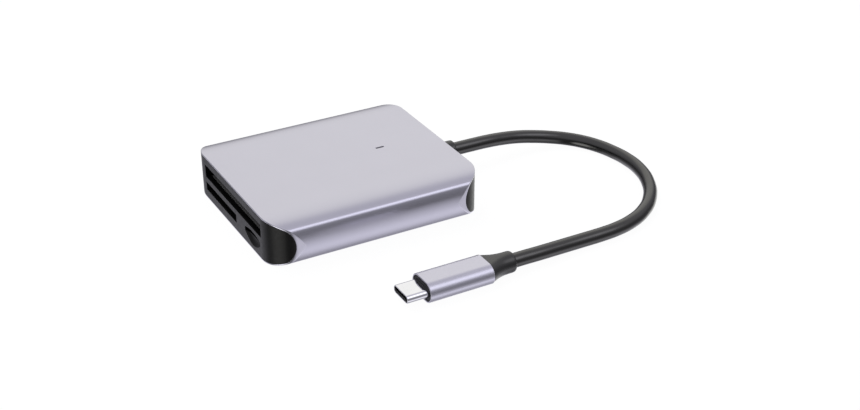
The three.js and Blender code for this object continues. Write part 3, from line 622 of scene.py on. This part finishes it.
def make_plug_core():
    """The moulded insert, with a lip round its face and the shell's mouth cut into it."""
    gap = PLUG_WALL + SEAM
    size = (PLUG_HIGH.x - PLUG_LOW.x - 2 * gap, PLUG_HIGH.z - PLUG_LOW.z - 2 * gap)
    front = PLUG_LOW.y + PLUG_RECESS
    rear = PLUG_HIGH.y - CORE["short"]
    edge = CORE["edge"]
    rings = [stadium(size, inset, front + back) for inset, back in broken_edge(edge)]
    rings += [stadium(size, 0, rear - edge), stadium(size, edge, rear)]
    piece = loft("plug_insert", rings, [CORE_PLASTIC], 50)
    opening = (SHELL_HIGH.x - SHELL_LOW.x + CORE["play"], SHELL_HIGH.z - SHELL_LOW.z + CORE["play"])
    mouth = [stadium(opening, 0, y, 10) for y in (front - PAST, SHELL_HIGH.y + CORE["behind"])]
    bay = box_cutter(
        "bay", (PLUG_X - BAY["half_width"], PLUG_X + BAY["half_width"]),
        (SHELL_HIGH.y - BAY["lap"], BAY["rear"]),
        (PLUG_Z - BAY["half_height"], PLUG_Z + BAY["half_height"]),
    )
    cut_out(piece, [loft("mouth", mouth, []), bay])
    soften(piece, 0.06 * MM, angle=50)
    return stand_for(piece, "black_plastic", "plug_core")


def make_plug_parts():
    sleeve = rounded_tube(
        "plug_housing", PLUG_LOW, PLUG_HIGH, PLUG_WALL, TUBE_EDGE["plug"], PLUG_ALUMINIUM_PAINTED_LIGHTER,
        "plug_sleeve", "anodised_aluminium",
    )
    core = make_plug_core()
    shell = rounded_tube(
        "usb_c_plug_shell", SHELL_LOW, SHELL_HIGH, SHEET, TUBE_EDGE["shell"], CHROME,
        "usb_c_shell", "chrome_shell",
    )
    return [sleeve, core, shell]


cable = make_cable()
gland = make_gland()
boot = make_strain_relief()
plug_parts = make_plug_parts()

# ---- housing

SIDE_STEPS = 14
TURN_STEPS = 12
SHOULDER_STEPS = 18


def bezier(knots, t):
    """A point of a Bezier curve of any degree, and its direction there."""
    while len(knots) > 2:
        pairs = zip(knots, knots[1:])
        knots = [tuple(a + (b - a) * t for a, b in zip(first, second)) for first, second in pairs]
    (ax, az), (bx, bz) = knots
    length = math.hypot(bx - ax, bz - az)
    return ax + (bx - ax) * t, az + (bz - az) * t, (bx - ax) / length, (bz - az) / length


def section_quarter():
    """A quarter of the cross-section from the side up to the top: (x, rise, normal x, normal z)."""

    def on_turn(angle):
        radius = TURN["radius"]
        return TURN["x"] + radius * math.sin(angle), TURN["rise"] + radius * math.cos(angle)

    low = on_turn(TURN["to"])
    high = on_turn(TURN["from"])
    flat = HALF_WIDTH - SHOULDER["length"]
    side = [(HALF_WIDTH, 0), (HALF_WIDTH, low[1] - (HALF_WIDTH - low[0]) * math.tan(TURN["to"])), low]
    end = SHOULDER["end"]
    shoulder = [
        high, (high[0] - end * math.cos(TURN["from"]), high[1] + end * math.sin(TURN["from"])),
        (flat + SHOULDER["start"], MID), (flat, MID),
    ]
    quarter = []
    for i in range(SIDE_STEPS):
        x, rise, dx, dz = bezier(side, i / SIDE_STEPS)
        quarter.append((x, rise, dz, -dx))
    for i in range(TURN_STEPS):
        angle = TURN["to"] + (TURN["from"] - TURN["to"]) * i / TURN_STEPS
        quarter.append((*on_turn(angle), math.sin(angle), math.cos(angle)))
    for i in range(SHOULDER_STEPS + 1):
        x, rise, dx, dz = bezier(shoulder, i / SHOULDER_STEPS)
        quarter.append((x, rise, dz, -dx))
    return quarter


QUARTER = section_quarter()
SLEEVE_MOUTH = 0.04 * MM  # how far the sleeve's inner edge is broken
CAP_EDGE = 0.1 * MM
LENS_FLANGE = {"half": 1.1 * MM, "longer": 0.6 * MM, "thick": 1.0 * MM, "below_top": 0.7 * MM}
CROWN = 0.08 * MM
CLEAR = 0.3 * MM  # how much wider the rear hole is than the gland's neck


def section_loop():
    """The whole cross-section as (x, z, normal x, normal z), once round."""
    left_up = [(-x, rise, -nx, nz) for x, rise, nx, nz in reversed(QUARTER)]
    left_down = [(-x, -rise, -nx, -nz) for x, rise, nx, nz in QUARTER[1:]]
    right_down = [(x, -rise, nx, -nz) for x, rise, nx, nz in reversed(QUARTER[1:])]
    return [(x, MID + rise, nx, nz) for x, rise, nx, nz in QUARTER + left_up + left_down + right_down]


SECTION = section_loop()


def reach_at(x, inset=0.0):
    """How far the plan's rounded rectangle, moved in by an inset, reaches along Y at x."""
    radius = PLAN_RADIUS - inset
    past = abs(x) - (HALF_WIDTH - PLAN_RADIUS)
    straight = HALF_LENGTH - PLAN_RADIUS
    if past <= 0:
        return straight + radius
    return straight + math.sqrt(max(radius**2 - past**2, 0))


def section_ring(depth, end, back=0.0, inset=0.0, flat_y=None):
    """The cross-section sunk by a depth, ending on the plan's outline, or on a flat plane."""
    points = []
    for x, z, nx, nz in SECTION:
        px = x - nx * depth
        y = end * (reach_at(px, inset) - back) if flat_y is None else flat_y
        points.append((px, y, z - nz * depth))
    return points


def housing_sleeve():
    """The extruded aluminium sleeve, cut square at its ends and round at its corners."""
    rim = rolled_edge(EDGE) + [(SHELL_WALL * share, 0.0) for share in (0.6, 0.85)]
    rim.append((SHELL_WALL, SLEEVE_MOUTH))
    build = bmesh.new()
    front = [ring_of(build, section_ring(depth, -1, back)) for depth, back in rim]
    rear = [ring_of(build, section_ring(depth, 1, back)) for depth, back in rim]
    cycle = front + rear[::-1]
    for i, ring in enumerate(cycle):
        after = cycle[(i + 1) % len(cycle)]
        is_rim = i not in (len(front) - 1, len(cycle) - 1)
        bridge(build, ring, after, 1 if is_rim else 0)
    piece = place_mesh("aluminium_sleeve", build, [ANODISED, CUT_EDGE], 50)
    cut_out(piece, [lens_block("slit", LENS_HALF, LENS_REACH, MID, HEIGHT + PAST)])
    even_shading(piece)
    stand_for(piece, "anodised_aluminium", "housing_sleeve")


def lens_block(name, half, reach, z0, z1, looks=(), crown=0.0):
    """An upright bar with round ends, and a slightly crowned top if asked."""
    steps = 12
    outline = []
    for end in (1, -1):
        for i in range(steps + 1):
            turn = i / steps * math.pi
            outline.append((end * half * math.cos(turn), end * (reach - half + half * math.sin(turn))))

    def ring(share, z):
        return [(x * share, LENS_Y + y * (1 - (1 - share) * half / reach), z) for x, y in outline]

    rings = [ring(1, z0), ring(1, z1 - crown)]
    if crown:
        rings += [ring(0.8, z1 - crown * 0.3), ring(0.4, z1)]
    return loft(name, rings, list(looks), 50)


def light_pipe():
    """The smoked lens in the slit, on the wider bar that holds it against the ceiling."""
    lens = lens_block(
        "led_lens", LENS_HALF - SEAM, LENS_REACH - SEAM, LENS_LOW.z, LENS_HIGH.z, [SMOKED_LENS], CROWN,
    )
    stand_for(lens, "smoked_lens", "led_light_pipe")
    ceiling = HEIGHT - LENS_FLANGE["below_top"]
    bar = lens_block(
        "led_lens_flange", LENS_FLANGE["half"], LENS_REACH + LENS_FLANGE["longer"],
        ceiling - LENS_FLANGE["thick"], ceiling, [SMOKED_LENS],
    )
    soften(bar, 0.08 * MM)
    stand_for(bar, "smoked_lens")


def end_face(build, ring):
    """Closes a section ring with upright strips between its upper and lower halves."""
    upper = ring[: 2 * len(QUARTER)]
    lower = [ring[0], *reversed(ring[2 * len(QUARTER):]), upper[-1]]
    for i in range(len(upper) - 1):
        corners = []
        for vert in (upper[i], upper[i + 1], lower[i + 1], lower[i]):
            if vert not in corners:
                corners.append(vert)
        build.faces.new(corners)


def end_cap(name, end, wall):
    """A moulded cap: a skirt inside the sleeve and a face flush with its cut end."""
    outer = SHELL_WALL + SEAM
    inner = outer + CAP_SKIN
    back_y = end * (HALF_LENGTH - CAP_DEPTH)
    build = bmesh.new()
    rings = [section_ring(outer + inset, end, back) for inset, back in broken_edge(CAP_EDGE)]
    rings += [section_ring(depth, end, flat_y=back_y) for depth in (outer, inner)]
    rings.append(section_ring(inner, end, inset=wall))
    made = [ring_of(build, points) for points in rings]
    skin(build, made)
    end_face(build, made[0])
    end_face(build, made[-1])
    return place_mesh(name, build, [BLACK_PLASTIC], 50)


def finger_scoop():
    """A cutter for the dish round the micro card slot, which ends on a lens-shaped rim."""
    centre = sum(MICRO["x"]) / 2
    shares = [i / SCOOP["around"] for i in range(SCOOP["around"] + 1)]

    def half(u, edge, reach):
        x = centre + u * SCOOP["half_width"]
        rim = edge + reach * (1 - u**2)
        sunk = SCOOP["lap"] + (SCOOP["depth"] - SCOOP["lap"]) * (1 - u**4)
        dish = [(x, sunk * (1 - share**2) - HALF_LENGTH, edge + (rim - edge) * share) for share in shares]
        return [*dish, (x, -HALF_LENGTH - SCOOP["outside"], rim)]

    rings = []
    for i in range(SCOOP["across"] + 1):
        u = 2 * i / SCOOP["across"] - 1
        upper = half(u, MICRO["z"][1] - SCOOP["lap"], SCOOP["up"])
        lower = half(u, MICRO["z"][0] + SCOOP["lap"], -SCOOP["down"])
        rings.append([*reversed(upper), *lower])
    return loft("scoop", rings, [])


def front_bezel():
    piece = end_cap("front_bezel_cap", -1, FRONT_WALL)
    through = (-HALF_LENGTH - PAST, -HALF_LENGTH + FRONT_WALL + PAST)
    slots = [box_cutter("slot", opening["x"], through, opening["z"]) for opening in (CFAST, SD, MICRO)]
    cut_out(piece, [*slots, finger_scoop()])
    soften(piece, 0.07 * MM, angle=42)
    stand_for(piece, "black_plastic", "front_bezel")


def rear_cap():
    piece = end_cap("rear_cap_shell", 1, REAR_WALL)
    width, height, radius = (size * MM for size in NECK)
    hole = [
        soft_ring(0, y, MID, width + CLEAR, height + CLEAR, radius)
        for y in (HALF_LENGTH - REAR_WALL - PAST, HALF_LENGTH + PAST)
    ]
    cut_out(piece, [loft("hole", hole, [])])
    soften(piece, 0.09 * MM, angle=42)
    stand_for(piece, "black_plastic", "rear_cap")


housing_sleeve()
light_pipe()
front_bezel()
rear_cap()

# ---- inside


def dress(node, look, width):
    """Keeps a CAD node's shape, with its edges softened and a finished material."""
    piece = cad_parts[node]
    piece.data.materials.clear()
    piece.data.materials.append(look)
    weld = piece.modifiers.new("weld", "WELD")
    weld.merge_threshold = HAIR
    soften(piece, width, angle=35)


# CAD nodes that keep their shape, by look and slot, with how wide their edges are softened in mm.
DRESSED = [
    (TRAY_PLASTIC, "tray_plastic", {"inner_tray": 0.15}),
    (GUIDE_PLASTIC, "tray_plastic", {"cfast_guide_left": 0.15, "cfast_guide_right": 0.15}),
    (FLOOR_PLASTIC, "tray_plastic", {"cfast_card_floor": 0.06}),
    (BOARD_GREEN, "board_green", {"main_pcb": 0.04, "plug_pcb": 0.04}),
    (SOCKET_PLASTIC, "socket_plastic", {
        "cfast_header": 0.12, "sd_socket_base": 0.08, "micro_sd_base": 0.08, "micro_sd_slider": 0.06,
        "usb_c_insulator": 0.05,
    }),
    (GOLD, "gold_contact", {
        "cfast_signal_contacts": 0.03, "cfast_power_contacts": 0.03, "sd_contacts": 0.03,
        "micro_sd_contacts": 0.03, "usb_c_contacts_upper": 0.02, "usb_c_contacts_lower": 0.02,
    }),
    (SPRING_STEEL, "spring_steel", {
        "sd_socket_shell": 0.05, "sd_detect_arm": 0.05, "sd_lock_arm": 0.05, "micro_sd_shell": 0.05,
        "crystal_1": 0.2, "crystal_2": 0.2, "cable_crimp_ring": 0.08,
    }),
    (FERRITE, "ferrite", {"power_inductor": 0.15}),
    (LED_WHITE, "led_white", {"status_led": 0.06}),
]


CHIP = {"lift": 0.1 * MM, "slope": 0.12 * MM, "waist": 0.05 * MM}
DOT = {"inset": 0.7 * MM, "floor": 0.3 * MM, "rim": 0.36 * MM, "deep": 0.06 * MM, "over": 0.2 * MM}
LEAD = {
    "thick": 0.1 * MM, "out": 0.55 * MM, "knee": 0.4, "root": 0.1 * MM, "wide": 0.28 * MM,
    "margin": 0.6 * MM, "foot": 0.02 * MM,
}


def chip(node, leads):
    """A moulded chip body with a pin-one dimple and gull-wing leads on two or four sides."""
    low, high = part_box(node)
    build = bmesh.new()
    waist = (low.z + high.z) / 2
    levels = (
        (CHIP["slope"], low.z + CHIP["lift"]), (0, waist - CHIP["waist"]),
        (0, waist + CHIP["waist"]), (CHIP["slope"], high.z),
    )
    rings = []
    for inset, z in levels:
        x0, x1, y0, y1 = low.x + inset, high.x - inset, low.y + inset, high.y - inset
        rings.append(ring_of(build, [(x0, y0, z), (x1, y0, z), (x1, y1, z), (x0, y1, z)]))
    skin(build, rings)
    build.faces.new(rings[0])
    build.faces.new(rings[-1])
    body = place_mesh(node + "_body", build, [CHIP_BLACK])
    dimple = bmesh.new()
    floor = high.z - DOT["deep"]
    over = high.z + DOT["over"]
    outline = [(0, floor), (DOT["floor"], floor), (DOT["rim"], over), (0, over)]
    revolve(dimple, outline, low.x + DOT["inset"], high.y - DOT["inset"], 24)
    cut_out(body, [place_mesh("dimple", dimple, [])])
    soften(body, 0.06 * MM, angle=25)
    stand_for(body, "chip_black", node)
    chip_leads(node, low, high, leads)


def chip_leads(node, low, high, leads):
    """Gull-wing leads along X and Y: a shoulder out of the body, a riser and a foot on the board."""
    build = bmesh.new()
    thick = LEAD["thick"]
    knee = LEAD["out"] * LEAD["knee"]
    waist = (low.z + high.z) / 2
    foot = low.z + LEAD["foot"]
    bars = (
        (-LEAD["root"], knee, waist - thick / 2, waist + thick / 2),
        (knee - thick, knee, foot, waist),
        (knee - thick, LEAD["out"], foot, foot + thick),
    )
    for axis, count in enumerate(leads):
        across = 1 - axis
        span = high[across] - low[across] - 2 * LEAD["margin"]
        width = min(LEAD["wide"], span / max(count, 1) * 0.5)
        for side, edge in ((-1, low[axis]), (1, high[axis])):
            for i in range(count):
                middle = low[across] + LEAD["margin"] + span * (i + 0.5) / count
                for near, far, bottom, top in bars:
                    along = sorted((edge + side * near, edge + side * far))
                    corners = [[0, 0, bottom], [0, 0, top]]
                    for corner, run, shift in zip(corners, along, (-width / 2, width / 2)):
                        corner[axis] = run
                        corner[across] = middle + shift
                    box_into(build, *corners)
    piece = place_mesh(node + "_leads", build, [SOLDER])
    soften(piece, 0.02 * MM)
    stand_for(piece, "spring_steel")


TAB = {"long": 0.18 * MM, "inset": 0.5 * MM, "tall": 0.9 * MM, "under": 0.1 * MM}
STRIPE_SHARE = 0.16


def capacitor(node):
    """A moulded block with a polarity stripe and folded metal end tabs."""
    low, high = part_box(node)
    build = bmesh.new()
    front = low.y + TAB["long"]
    rear = high.y - TAB["long"]
    stripe = rear - (high.y - low.y) * STRIPE_SHARE
    bottom = low.z + TAB["under"]
    box_into(build, (low.x, front, bottom), (high.x, stripe, high.z))
    box_into(build, (low.x, stripe, bottom), (high.x, rear, high.z), 2)
    for near, far in ((low.y, front), (rear, high.y)):
        top = low.z + TAB["tall"]
        box_into(build, (low.x + TAB["inset"], near, low.z), (high.x - TAB["inset"], far, top), 1)
    piece = place_mesh(node + "_case", build, [TANTALUM, SOLDER, FERRITE])
    soften(piece, 0.06 * MM)
    stand_for(piece, "tantalum", node)


# Rows of small parts: x and y of the first in millimetres, how many, their pitch, and whether
# the row runs along Y.
PASSIVE_ROWS = [
    (-18.6, 1.8, 7, 1.7, 0), (-18.9, 4.5, 4, 2.2, 1), (-6.6, 12.2, 3, 1.9, 1), (6.0, 12.8, 5, 1.8, 0),
    (16.3, 3.6, 4, 1.9, 1), (6.0, 2.2, 5, 1.8, 0), (-18.0, 20.8, 5, 2.0, 0), (8.0, 19.8, 4, 1.9, 0),
]
PASSIVE = {"half": (0.27 * MM, 0.5 * MM), "body": 0.98, "ends": (0.55, 1.1)}
LAND = {"hole": 1.15 * MM, "rim": 2.2 * MM, "sunk": 0.05 * MM, "proud": 0.02 * MM, "sides": 40}
PAD = {"pitch": 1.27 * MM, "half": 0.3 * MM, "near": 0.15 * MM, "far": 1.3 * MM}


def passive(build, centre, half, axis, tall, look):
    """A small part on the board, with a solder cap over each end along an axis."""
    top = BOARD_HIGH.z
    body = [size * PASSIVE["body"] for size in half]
    low = (centre[0] - body[0], centre[1] - body[1], top + 0.03 * MM)
    high = (centre[0] + body[0], centre[1] + body[1], top + tall)
    box_into(build, low, high, look)
    for side in (-1, 1):
        low = [centre[0] - half[0], centre[1] - half[1], top]
        high = [centre[0] + half[0], centre[1] + half[1], top + tall + LAND["proud"]]
        low[axis], high[axis] = sorted(centre[axis] + side * half[axis] * end for end in PASSIVE["ends"])
        box_into(build, low, high, 1)


def small_parts():
    """Rows of ceramic capacitors and resistors on pads, along the chips."""
    build = bmesh.new()
    for x, y, count, pitch, turned in PASSIVE_ROWS:
        half = PASSIVE["half"][::-1] if turned else PASSIVE["half"]
        for i in range(count):
            along = i * pitch
            centre = (x * MM, (y + along) * MM) if turned else ((x + along) * MM, y * MM)
            tall = (0.3 + 0.15 * ((i * 2 + count) % 3)) * MM
            passive(build, centre, half, 0 if turned else 1, tall, 0 if (i + count) % 3 else 2)
    piece = place_mesh("board_passives", build, [CERAMIC, SOLDER, CHIP_BLACK])
    soften(piece, 0.03 * MM)
    stand_for(piece, "chip_black")


def board_lands():
    """Bare gold lands: a ring round each screw and a row of pads behind the card header."""
    top = BOARD_HIGH.z + LAND["proud"]
    bottom = top - LAND["sunk"]
    build = bmesh.new()
    for number in range(1, 5):
        low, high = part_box(f"pcb_screw_{number}")
        x, y = (low.x + high.x) / 2, (low.y + high.y) / 2
        outline = [(LAND["hole"], bottom), (LAND["rim"], bottom), (LAND["rim"], top), (LAND["hole"], top)]
        rings = [ring_of(build, around(x, y, z, [radius] * LAND["sides"])) for radius, z in outline]
        skin(build, rings + rings[:1])
    low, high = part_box("cfast_header")
    for i in range(int((high.x - low.x) / PAD["pitch"]) - 1):
        x = low.x + PAD["pitch"] * (i + 1)
        near, far = high.y + PAD["near"], high.y + PAD["far"]
        box_into(build, (x - PAD["half"], near, bottom), (x + PAD["half"], far, top))
    piece = place_mesh("board_lands", build, [GOLD])
    even_shading(piece)
    stand_for(piece, "gold_contact")


THREAD = {"core": 0.7 * MM, "crest": 0.18 * MM, "pitch": 0.5 * MM, "tip": 0.6 * MM, "levels": 60}
SCREW_SIDES = 28
HEAD_PROFILE = ((1, 0), (1, 0.35), (0.93, 0.62), (0.8, 0.84), (0.6, 0.97), (0.3, 1))
RECESS = {"long": 0.95 * MM, "wide": 0.2 * MM, "deep": 0.65 * MM, "over": 0.5 * MM}


def thread_ring(x, y, z):
    """A level section of a screw thread: its crest runs round as z rises."""
    phases = [(z / THREAD["pitch"] - i / SCREW_SIDES) % 1 for i in range(SCREW_SIDES)]
    radii = [THREAD["core"] + THREAD["crest"] * (1 - abs(2 * phase - 1)) for phase in phases]
    return around(x, y, z, radii)


def screw(node):
    """A pan-head screw with a real helical thread and a cross recess."""
    low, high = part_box(node)
    x, y = (low.x + high.x) / 2, (low.y + high.y) / 2
    seat = BOARD_HIGH.z
    tip = low.z + THREAD["tip"]
    head = (high.x - low.x) / 2
    rise = high.z - seat
    levels = [tip + (seat - tip) * i / THREAD["levels"] for i in range(THREAD["levels"] + 1)]
    rings = [thread_ring(x, y, z) for z in levels]
    rings += [around(x, y, seat + rise * up, [head * out] * SCREW_SIDES) for out, up in HEAD_PROFILE]
    build = bmesh.new()
    made = [ring_of(build, points) for points in rings]
    skin(build, made)
    fan(build, made[0], (x, y, low.z))
    fan(build, made[-1], (x, y, high.z))
    piece = place_mesh(node + "_threaded", build, [SPRING_STEEL], 50)
    deep = (high.z - RECESS["deep"], high.z + RECESS["over"])
    sizes = (RECESS["long"], RECESS["wide"])
    cut_out(piece, [
        box_cutter("recess", (x - across, x + across), (y - along, y + along), deep)
        for across, along in (sizes, sizes[::-1])
    ])
    stand_for(piece, "spring_steel", node)


COIL = {"wire": 0.09 * MM, "turns": 11, "steps": 24, "sides": 8}


def carriage_spring():
    """The eject spring: an open coil, on a mesh of its own."""
    low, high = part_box("micro_sd_spring")
    x, z = (low.x + high.x) / 2, (low.z + high.z) / 2
    wire = COIL["wire"]
    coil = (high.x - low.x) / 2 - wire
    length = high.y - low.y - 2 * wire
    count = COIL["turns"] * COIL["steps"]
    turns = [2 * math.pi * i / COIL["sides"] for i in range(COIL["sides"])]
    up = Vector((0, 1, 0))
    rings = []
    for i in range(count + 1):
        angle = 2 * math.pi * i / COIL["steps"]
        out = Vector((math.cos(angle), 0, math.sin(angle)))
        centre = Vector((x, low.y + wire + length * i / count, z)) + out * coil
        rings.append([centre + out * wire * math.cos(a) + up * wire * math.sin(a) for a in turns])
    piece = loft("micro_sd_eject_spring", rings, [SPRING_STEEL], 60)
    stand_for(piece, "spring_steel", "micro_sd_spring")
    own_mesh(piece)


# The cores' route in millimetres: close together at the jacket, then fanned out to their pads.
CORE_PITCH = 0.9
PAD_PITCH = 2.4
CORE_START = ((24.7, MID / MM + 0.7), (23.8, MID / MM + 1.0))
CORE_END = ((21.6, 8.5), (20.2, 8.1), (19.2, 7.75))

# The jacket end's four rings: how far each lies from its end, and its share of the full width.
TAIL = [(0, 0.9), (0.12 * MM, 1.0), (-0.1 * MM, 1.0), (0, 0.97)]


def lead_wires():
    """The four cores of the lead, fanned from the jacket's end to their pads."""
    for index, (slot, look) in enumerate(WIRE_LOOKS.items()):
        across = index - 1.5
        route = [Vector((CORE_PITCH * across, y, z)) for y, z in CORE_START]
        route += [Vector((PAD_PITCH * across, y, z)) for y, z in CORE_END]
        wire = round_curve(f"core_{index + 1}", [point * MM for point in route], 0.38 * MM, look)
        stand_for(wire, slot, f"lead_wire_{index + 1}")


def cable_tail():
    """The stretch of jacket inside the body, stripped square at its inner end."""
    low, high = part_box("cable_tail")
    x, z = (low.x + high.x) / 2, (low.z + high.z) / 2
    full = high.x - low.x
    rings = [
        soft_ring(x, start + offset, z, full * share, full * share, full)
        for start, (offset, share) in zip((low.y, low.y, high.y, high.y), TAIL)
    ]
    piece = loft("cable_jacket_end", rings, [CABLE_RUBBER], 50)
    stand_for(piece, "cord_rubber", "cable_tail")


for look, slot, nodes in DRESSED:
    for node, width in nodes.items():
        dress(node, look, width * MM)
chip("cfast_bridge_chip", (14, 14))
chip("card_reader_chip", (11, 11))
chip("flash_chip", (4, 0))
chip("regulator", (3, 0))
capacitor("bulk_capacitor")
small_parts()
board_lands()
for screw_number in range(1, 5):
    screw(f"pcb_screw_{screw_number}")
carriage_spring()
lead_wires()
cable_tail()

# ---- stage and light

FLOOR_HALF = 2.0
DOME_RADIUS = 2.4


def glowing(name, glow, albedo):
    """A pale matt surface that also glows a little, so that it reads as clean studio white."""
    material = bpy.data.materials.new(name)
    material.use_nodes = True
    shader = material.node_tree.nodes["Principled BSDF"]
    shader.inputs["Base Color"].default_value = (albedo, albedo, albedo, 1)
    shader.inputs["Roughness"].default_value = 0.9
    shader.inputs["Specular IOR Level"].default_value = 0.0
    shader.inputs["Emission Color"].default_value = (1, 1, 1, 1)
    shader.inputs["Emission Strength"].default_value = glow
    return material


def make_floor():
    build = bmesh.new()
    corners = ((-1, -1), (1, -1), (1, 1), (-1, 1))
    build.faces.new(ring_of(build, [(x * FLOOR_HALF, y * FLOOR_HALF, 0) for x, y in corners]))
    floor = place_mesh("floor", build, [glowing("floor_white", 0.96, 0.06)])
    floor.visible_glossy = False
    floor.visible_diffuse = False


def make_dome():
    """A white backdrop all round, seen by the camera only."""
    build = bmesh.new()
    bmesh.ops.create_uvsphere(build, u_segments=64, v_segments=32, radius=DOME_RADIUS)
    dome = place_mesh("backdrop", build, [glowing("backdrop_white", 1.0, 0.0)])
    for ray in ("glossy", "diffuse", "transmission", "shadow", "volume_scatter"):
        setattr(dome, "visible_" + ray, False)


# The studio's brightness by elevation, as (degrees, brightness): a bright ring of table
# below, a dark horizon and an even ceiling.
STUDIO = [
    (-90, 0.36), (-63, 0.38), (-52, 0.71), (-45, 0.91), (-38, 0.98), (-29, 0.7), (-20, 0.38), (-10, 0.22),
    (8, 0.2), (18, 0.33), (28, 0.48), (40, 0.58), (66, 0.565), (90, 0.63),
]
STUDIO_TINT = (0.97, 0.96, 1.065)
WORLD_PEAK = 4.0

# Softboxes in the studio, as seen from the object: where each is centred (azimuth from
# +X and elevation, in degrees), the angles from its centre where it starts to fade and
# where it is gone, and its colour. One with "above" also fades in with height, between
# those two sines of the elevation.
SOFTBOXES = [
    {"toward": (150.8, 29.1), "fade": (5, 36), "color": (0.935, 0.93, 0.92), "above": (-0.32, 0.2)},
    {"toward": (38, 47), "fade": (5, 22), "color": (1.36, 1.36, 1.52)},
    {"toward": (-70, -29), "fade": (32, 56), "color": (0.12, 0.12, 0.13)},
    {"toward": (-72, -29), "fade": (4, 28), "color": (1.6, 1.6, 1.65)},
    {"toward": (114, -27), "fade": (8, 28), "color": (1.3, 1.3, 1.3)},
]


def make_world():
    """The studio that the object reflects: a ramp by elevation, with the softboxes over it."""
    world = bpy.data.worlds.new("studio")
    bpy.context.scene.world = world
    world.use_nodes = True
    tree = world.node_tree
    place = tree.nodes.new("ShaderNodeTexCoord").outputs["Generated"]
    split = add_node(tree, "ShaderNodeSeparateXYZ", links={"Vector": place})
    height = add_node(tree, "ShaderNodeMapRange", {"From Min": -1}, {"Value": split.outputs["Z"]})
    ramp = add_node(tree, "ShaderNodeValToRGB", links={"Fac": height.outputs["Result"]})
    fill_ramp(ramp.color_ramp, [
        ((math.sin(math.radians(degrees)) + 1) / 2, [level * tint / WORLD_PEAK for tint in STUDIO_TINT])
        for degrees, level in STUDIO
    ])

    def fade_in(value, start, end):
        node = add_node(tree, "ShaderNodeMapRange", {"From Min": start, "From Max": end}, {"Value": value})
        node.interpolation_type = "SMOOTHSTEP"
        return node.outputs["Result"]

    color = ramp.outputs["Color"]
    for softbox in SOFTBOXES:
        azimuth, elevation = (math.radians(angle) for angle in softbox["toward"])
        level = math.cos(elevation)
        centre = (level * math.cos(azimuth), level * math.sin(azimuth), math.sin(elevation))
        toward = add_node(tree, "ShaderNodeVectorMath", {1: centre}, {0: place}, "DOT_PRODUCT")
        full, gone = (math.cos(math.radians(angle)) for angle in softbox["fade"])
        share = fade_in(toward.outputs["Value"], gone, full)
        if "above" in softbox:
            cut = fade_in(split.outputs["Z"], *softbox["above"])
            product = add_node(tree, "ShaderNodeMath", links={0: share, 1: cut}, operation="MULTIPLY")
            share = product.outputs["Value"]
        tone = (*[channel / WORLD_PEAK for channel in softbox["color"]], 1)
        mix = add_node(tree, "ShaderNodeMixRGB", {"Color2": tone}, {"Fac": share, "Color1": color})
        color = mix.outputs["Color"]
    background = tree.nodes["Background"]
    background.inputs["Strength"].default_value = WORLD_PEAK
    tree.links.new(color, background.inputs["Color"])


KEY_PLACE = Vector((-0.35, -0.15, 0.75))
KEY_SIZE = 0.6
KEY_POWER = 3.0


def make_key_light():
    """A soft light from above that shows in no reflection."""
    data = bpy.data.lights.new("key_light", "AREA")
    data.shape = "RECTANGLE"
    data.size = KEY_SIZE
    data.size_y = KEY_SIZE
    data.energy = KEY_POWER
    light = bpy.data.objects.new("key_light", data)
    light.location = KEY_PLACE
    toward = (CAD_BOX[0] + CAD_BOX[1]) / 2 - KEY_PLACE
    light.rotation_euler = toward.to_track_quat("-Z", "Y").to_euler()
    light.visible_glossy = False
    bpy.context.scene.collection.objects.link(light)


make_floor()
make_dome()
make_world()
make_key_light()
bpy.context.scene.view_settings.view_transform = "Standard"
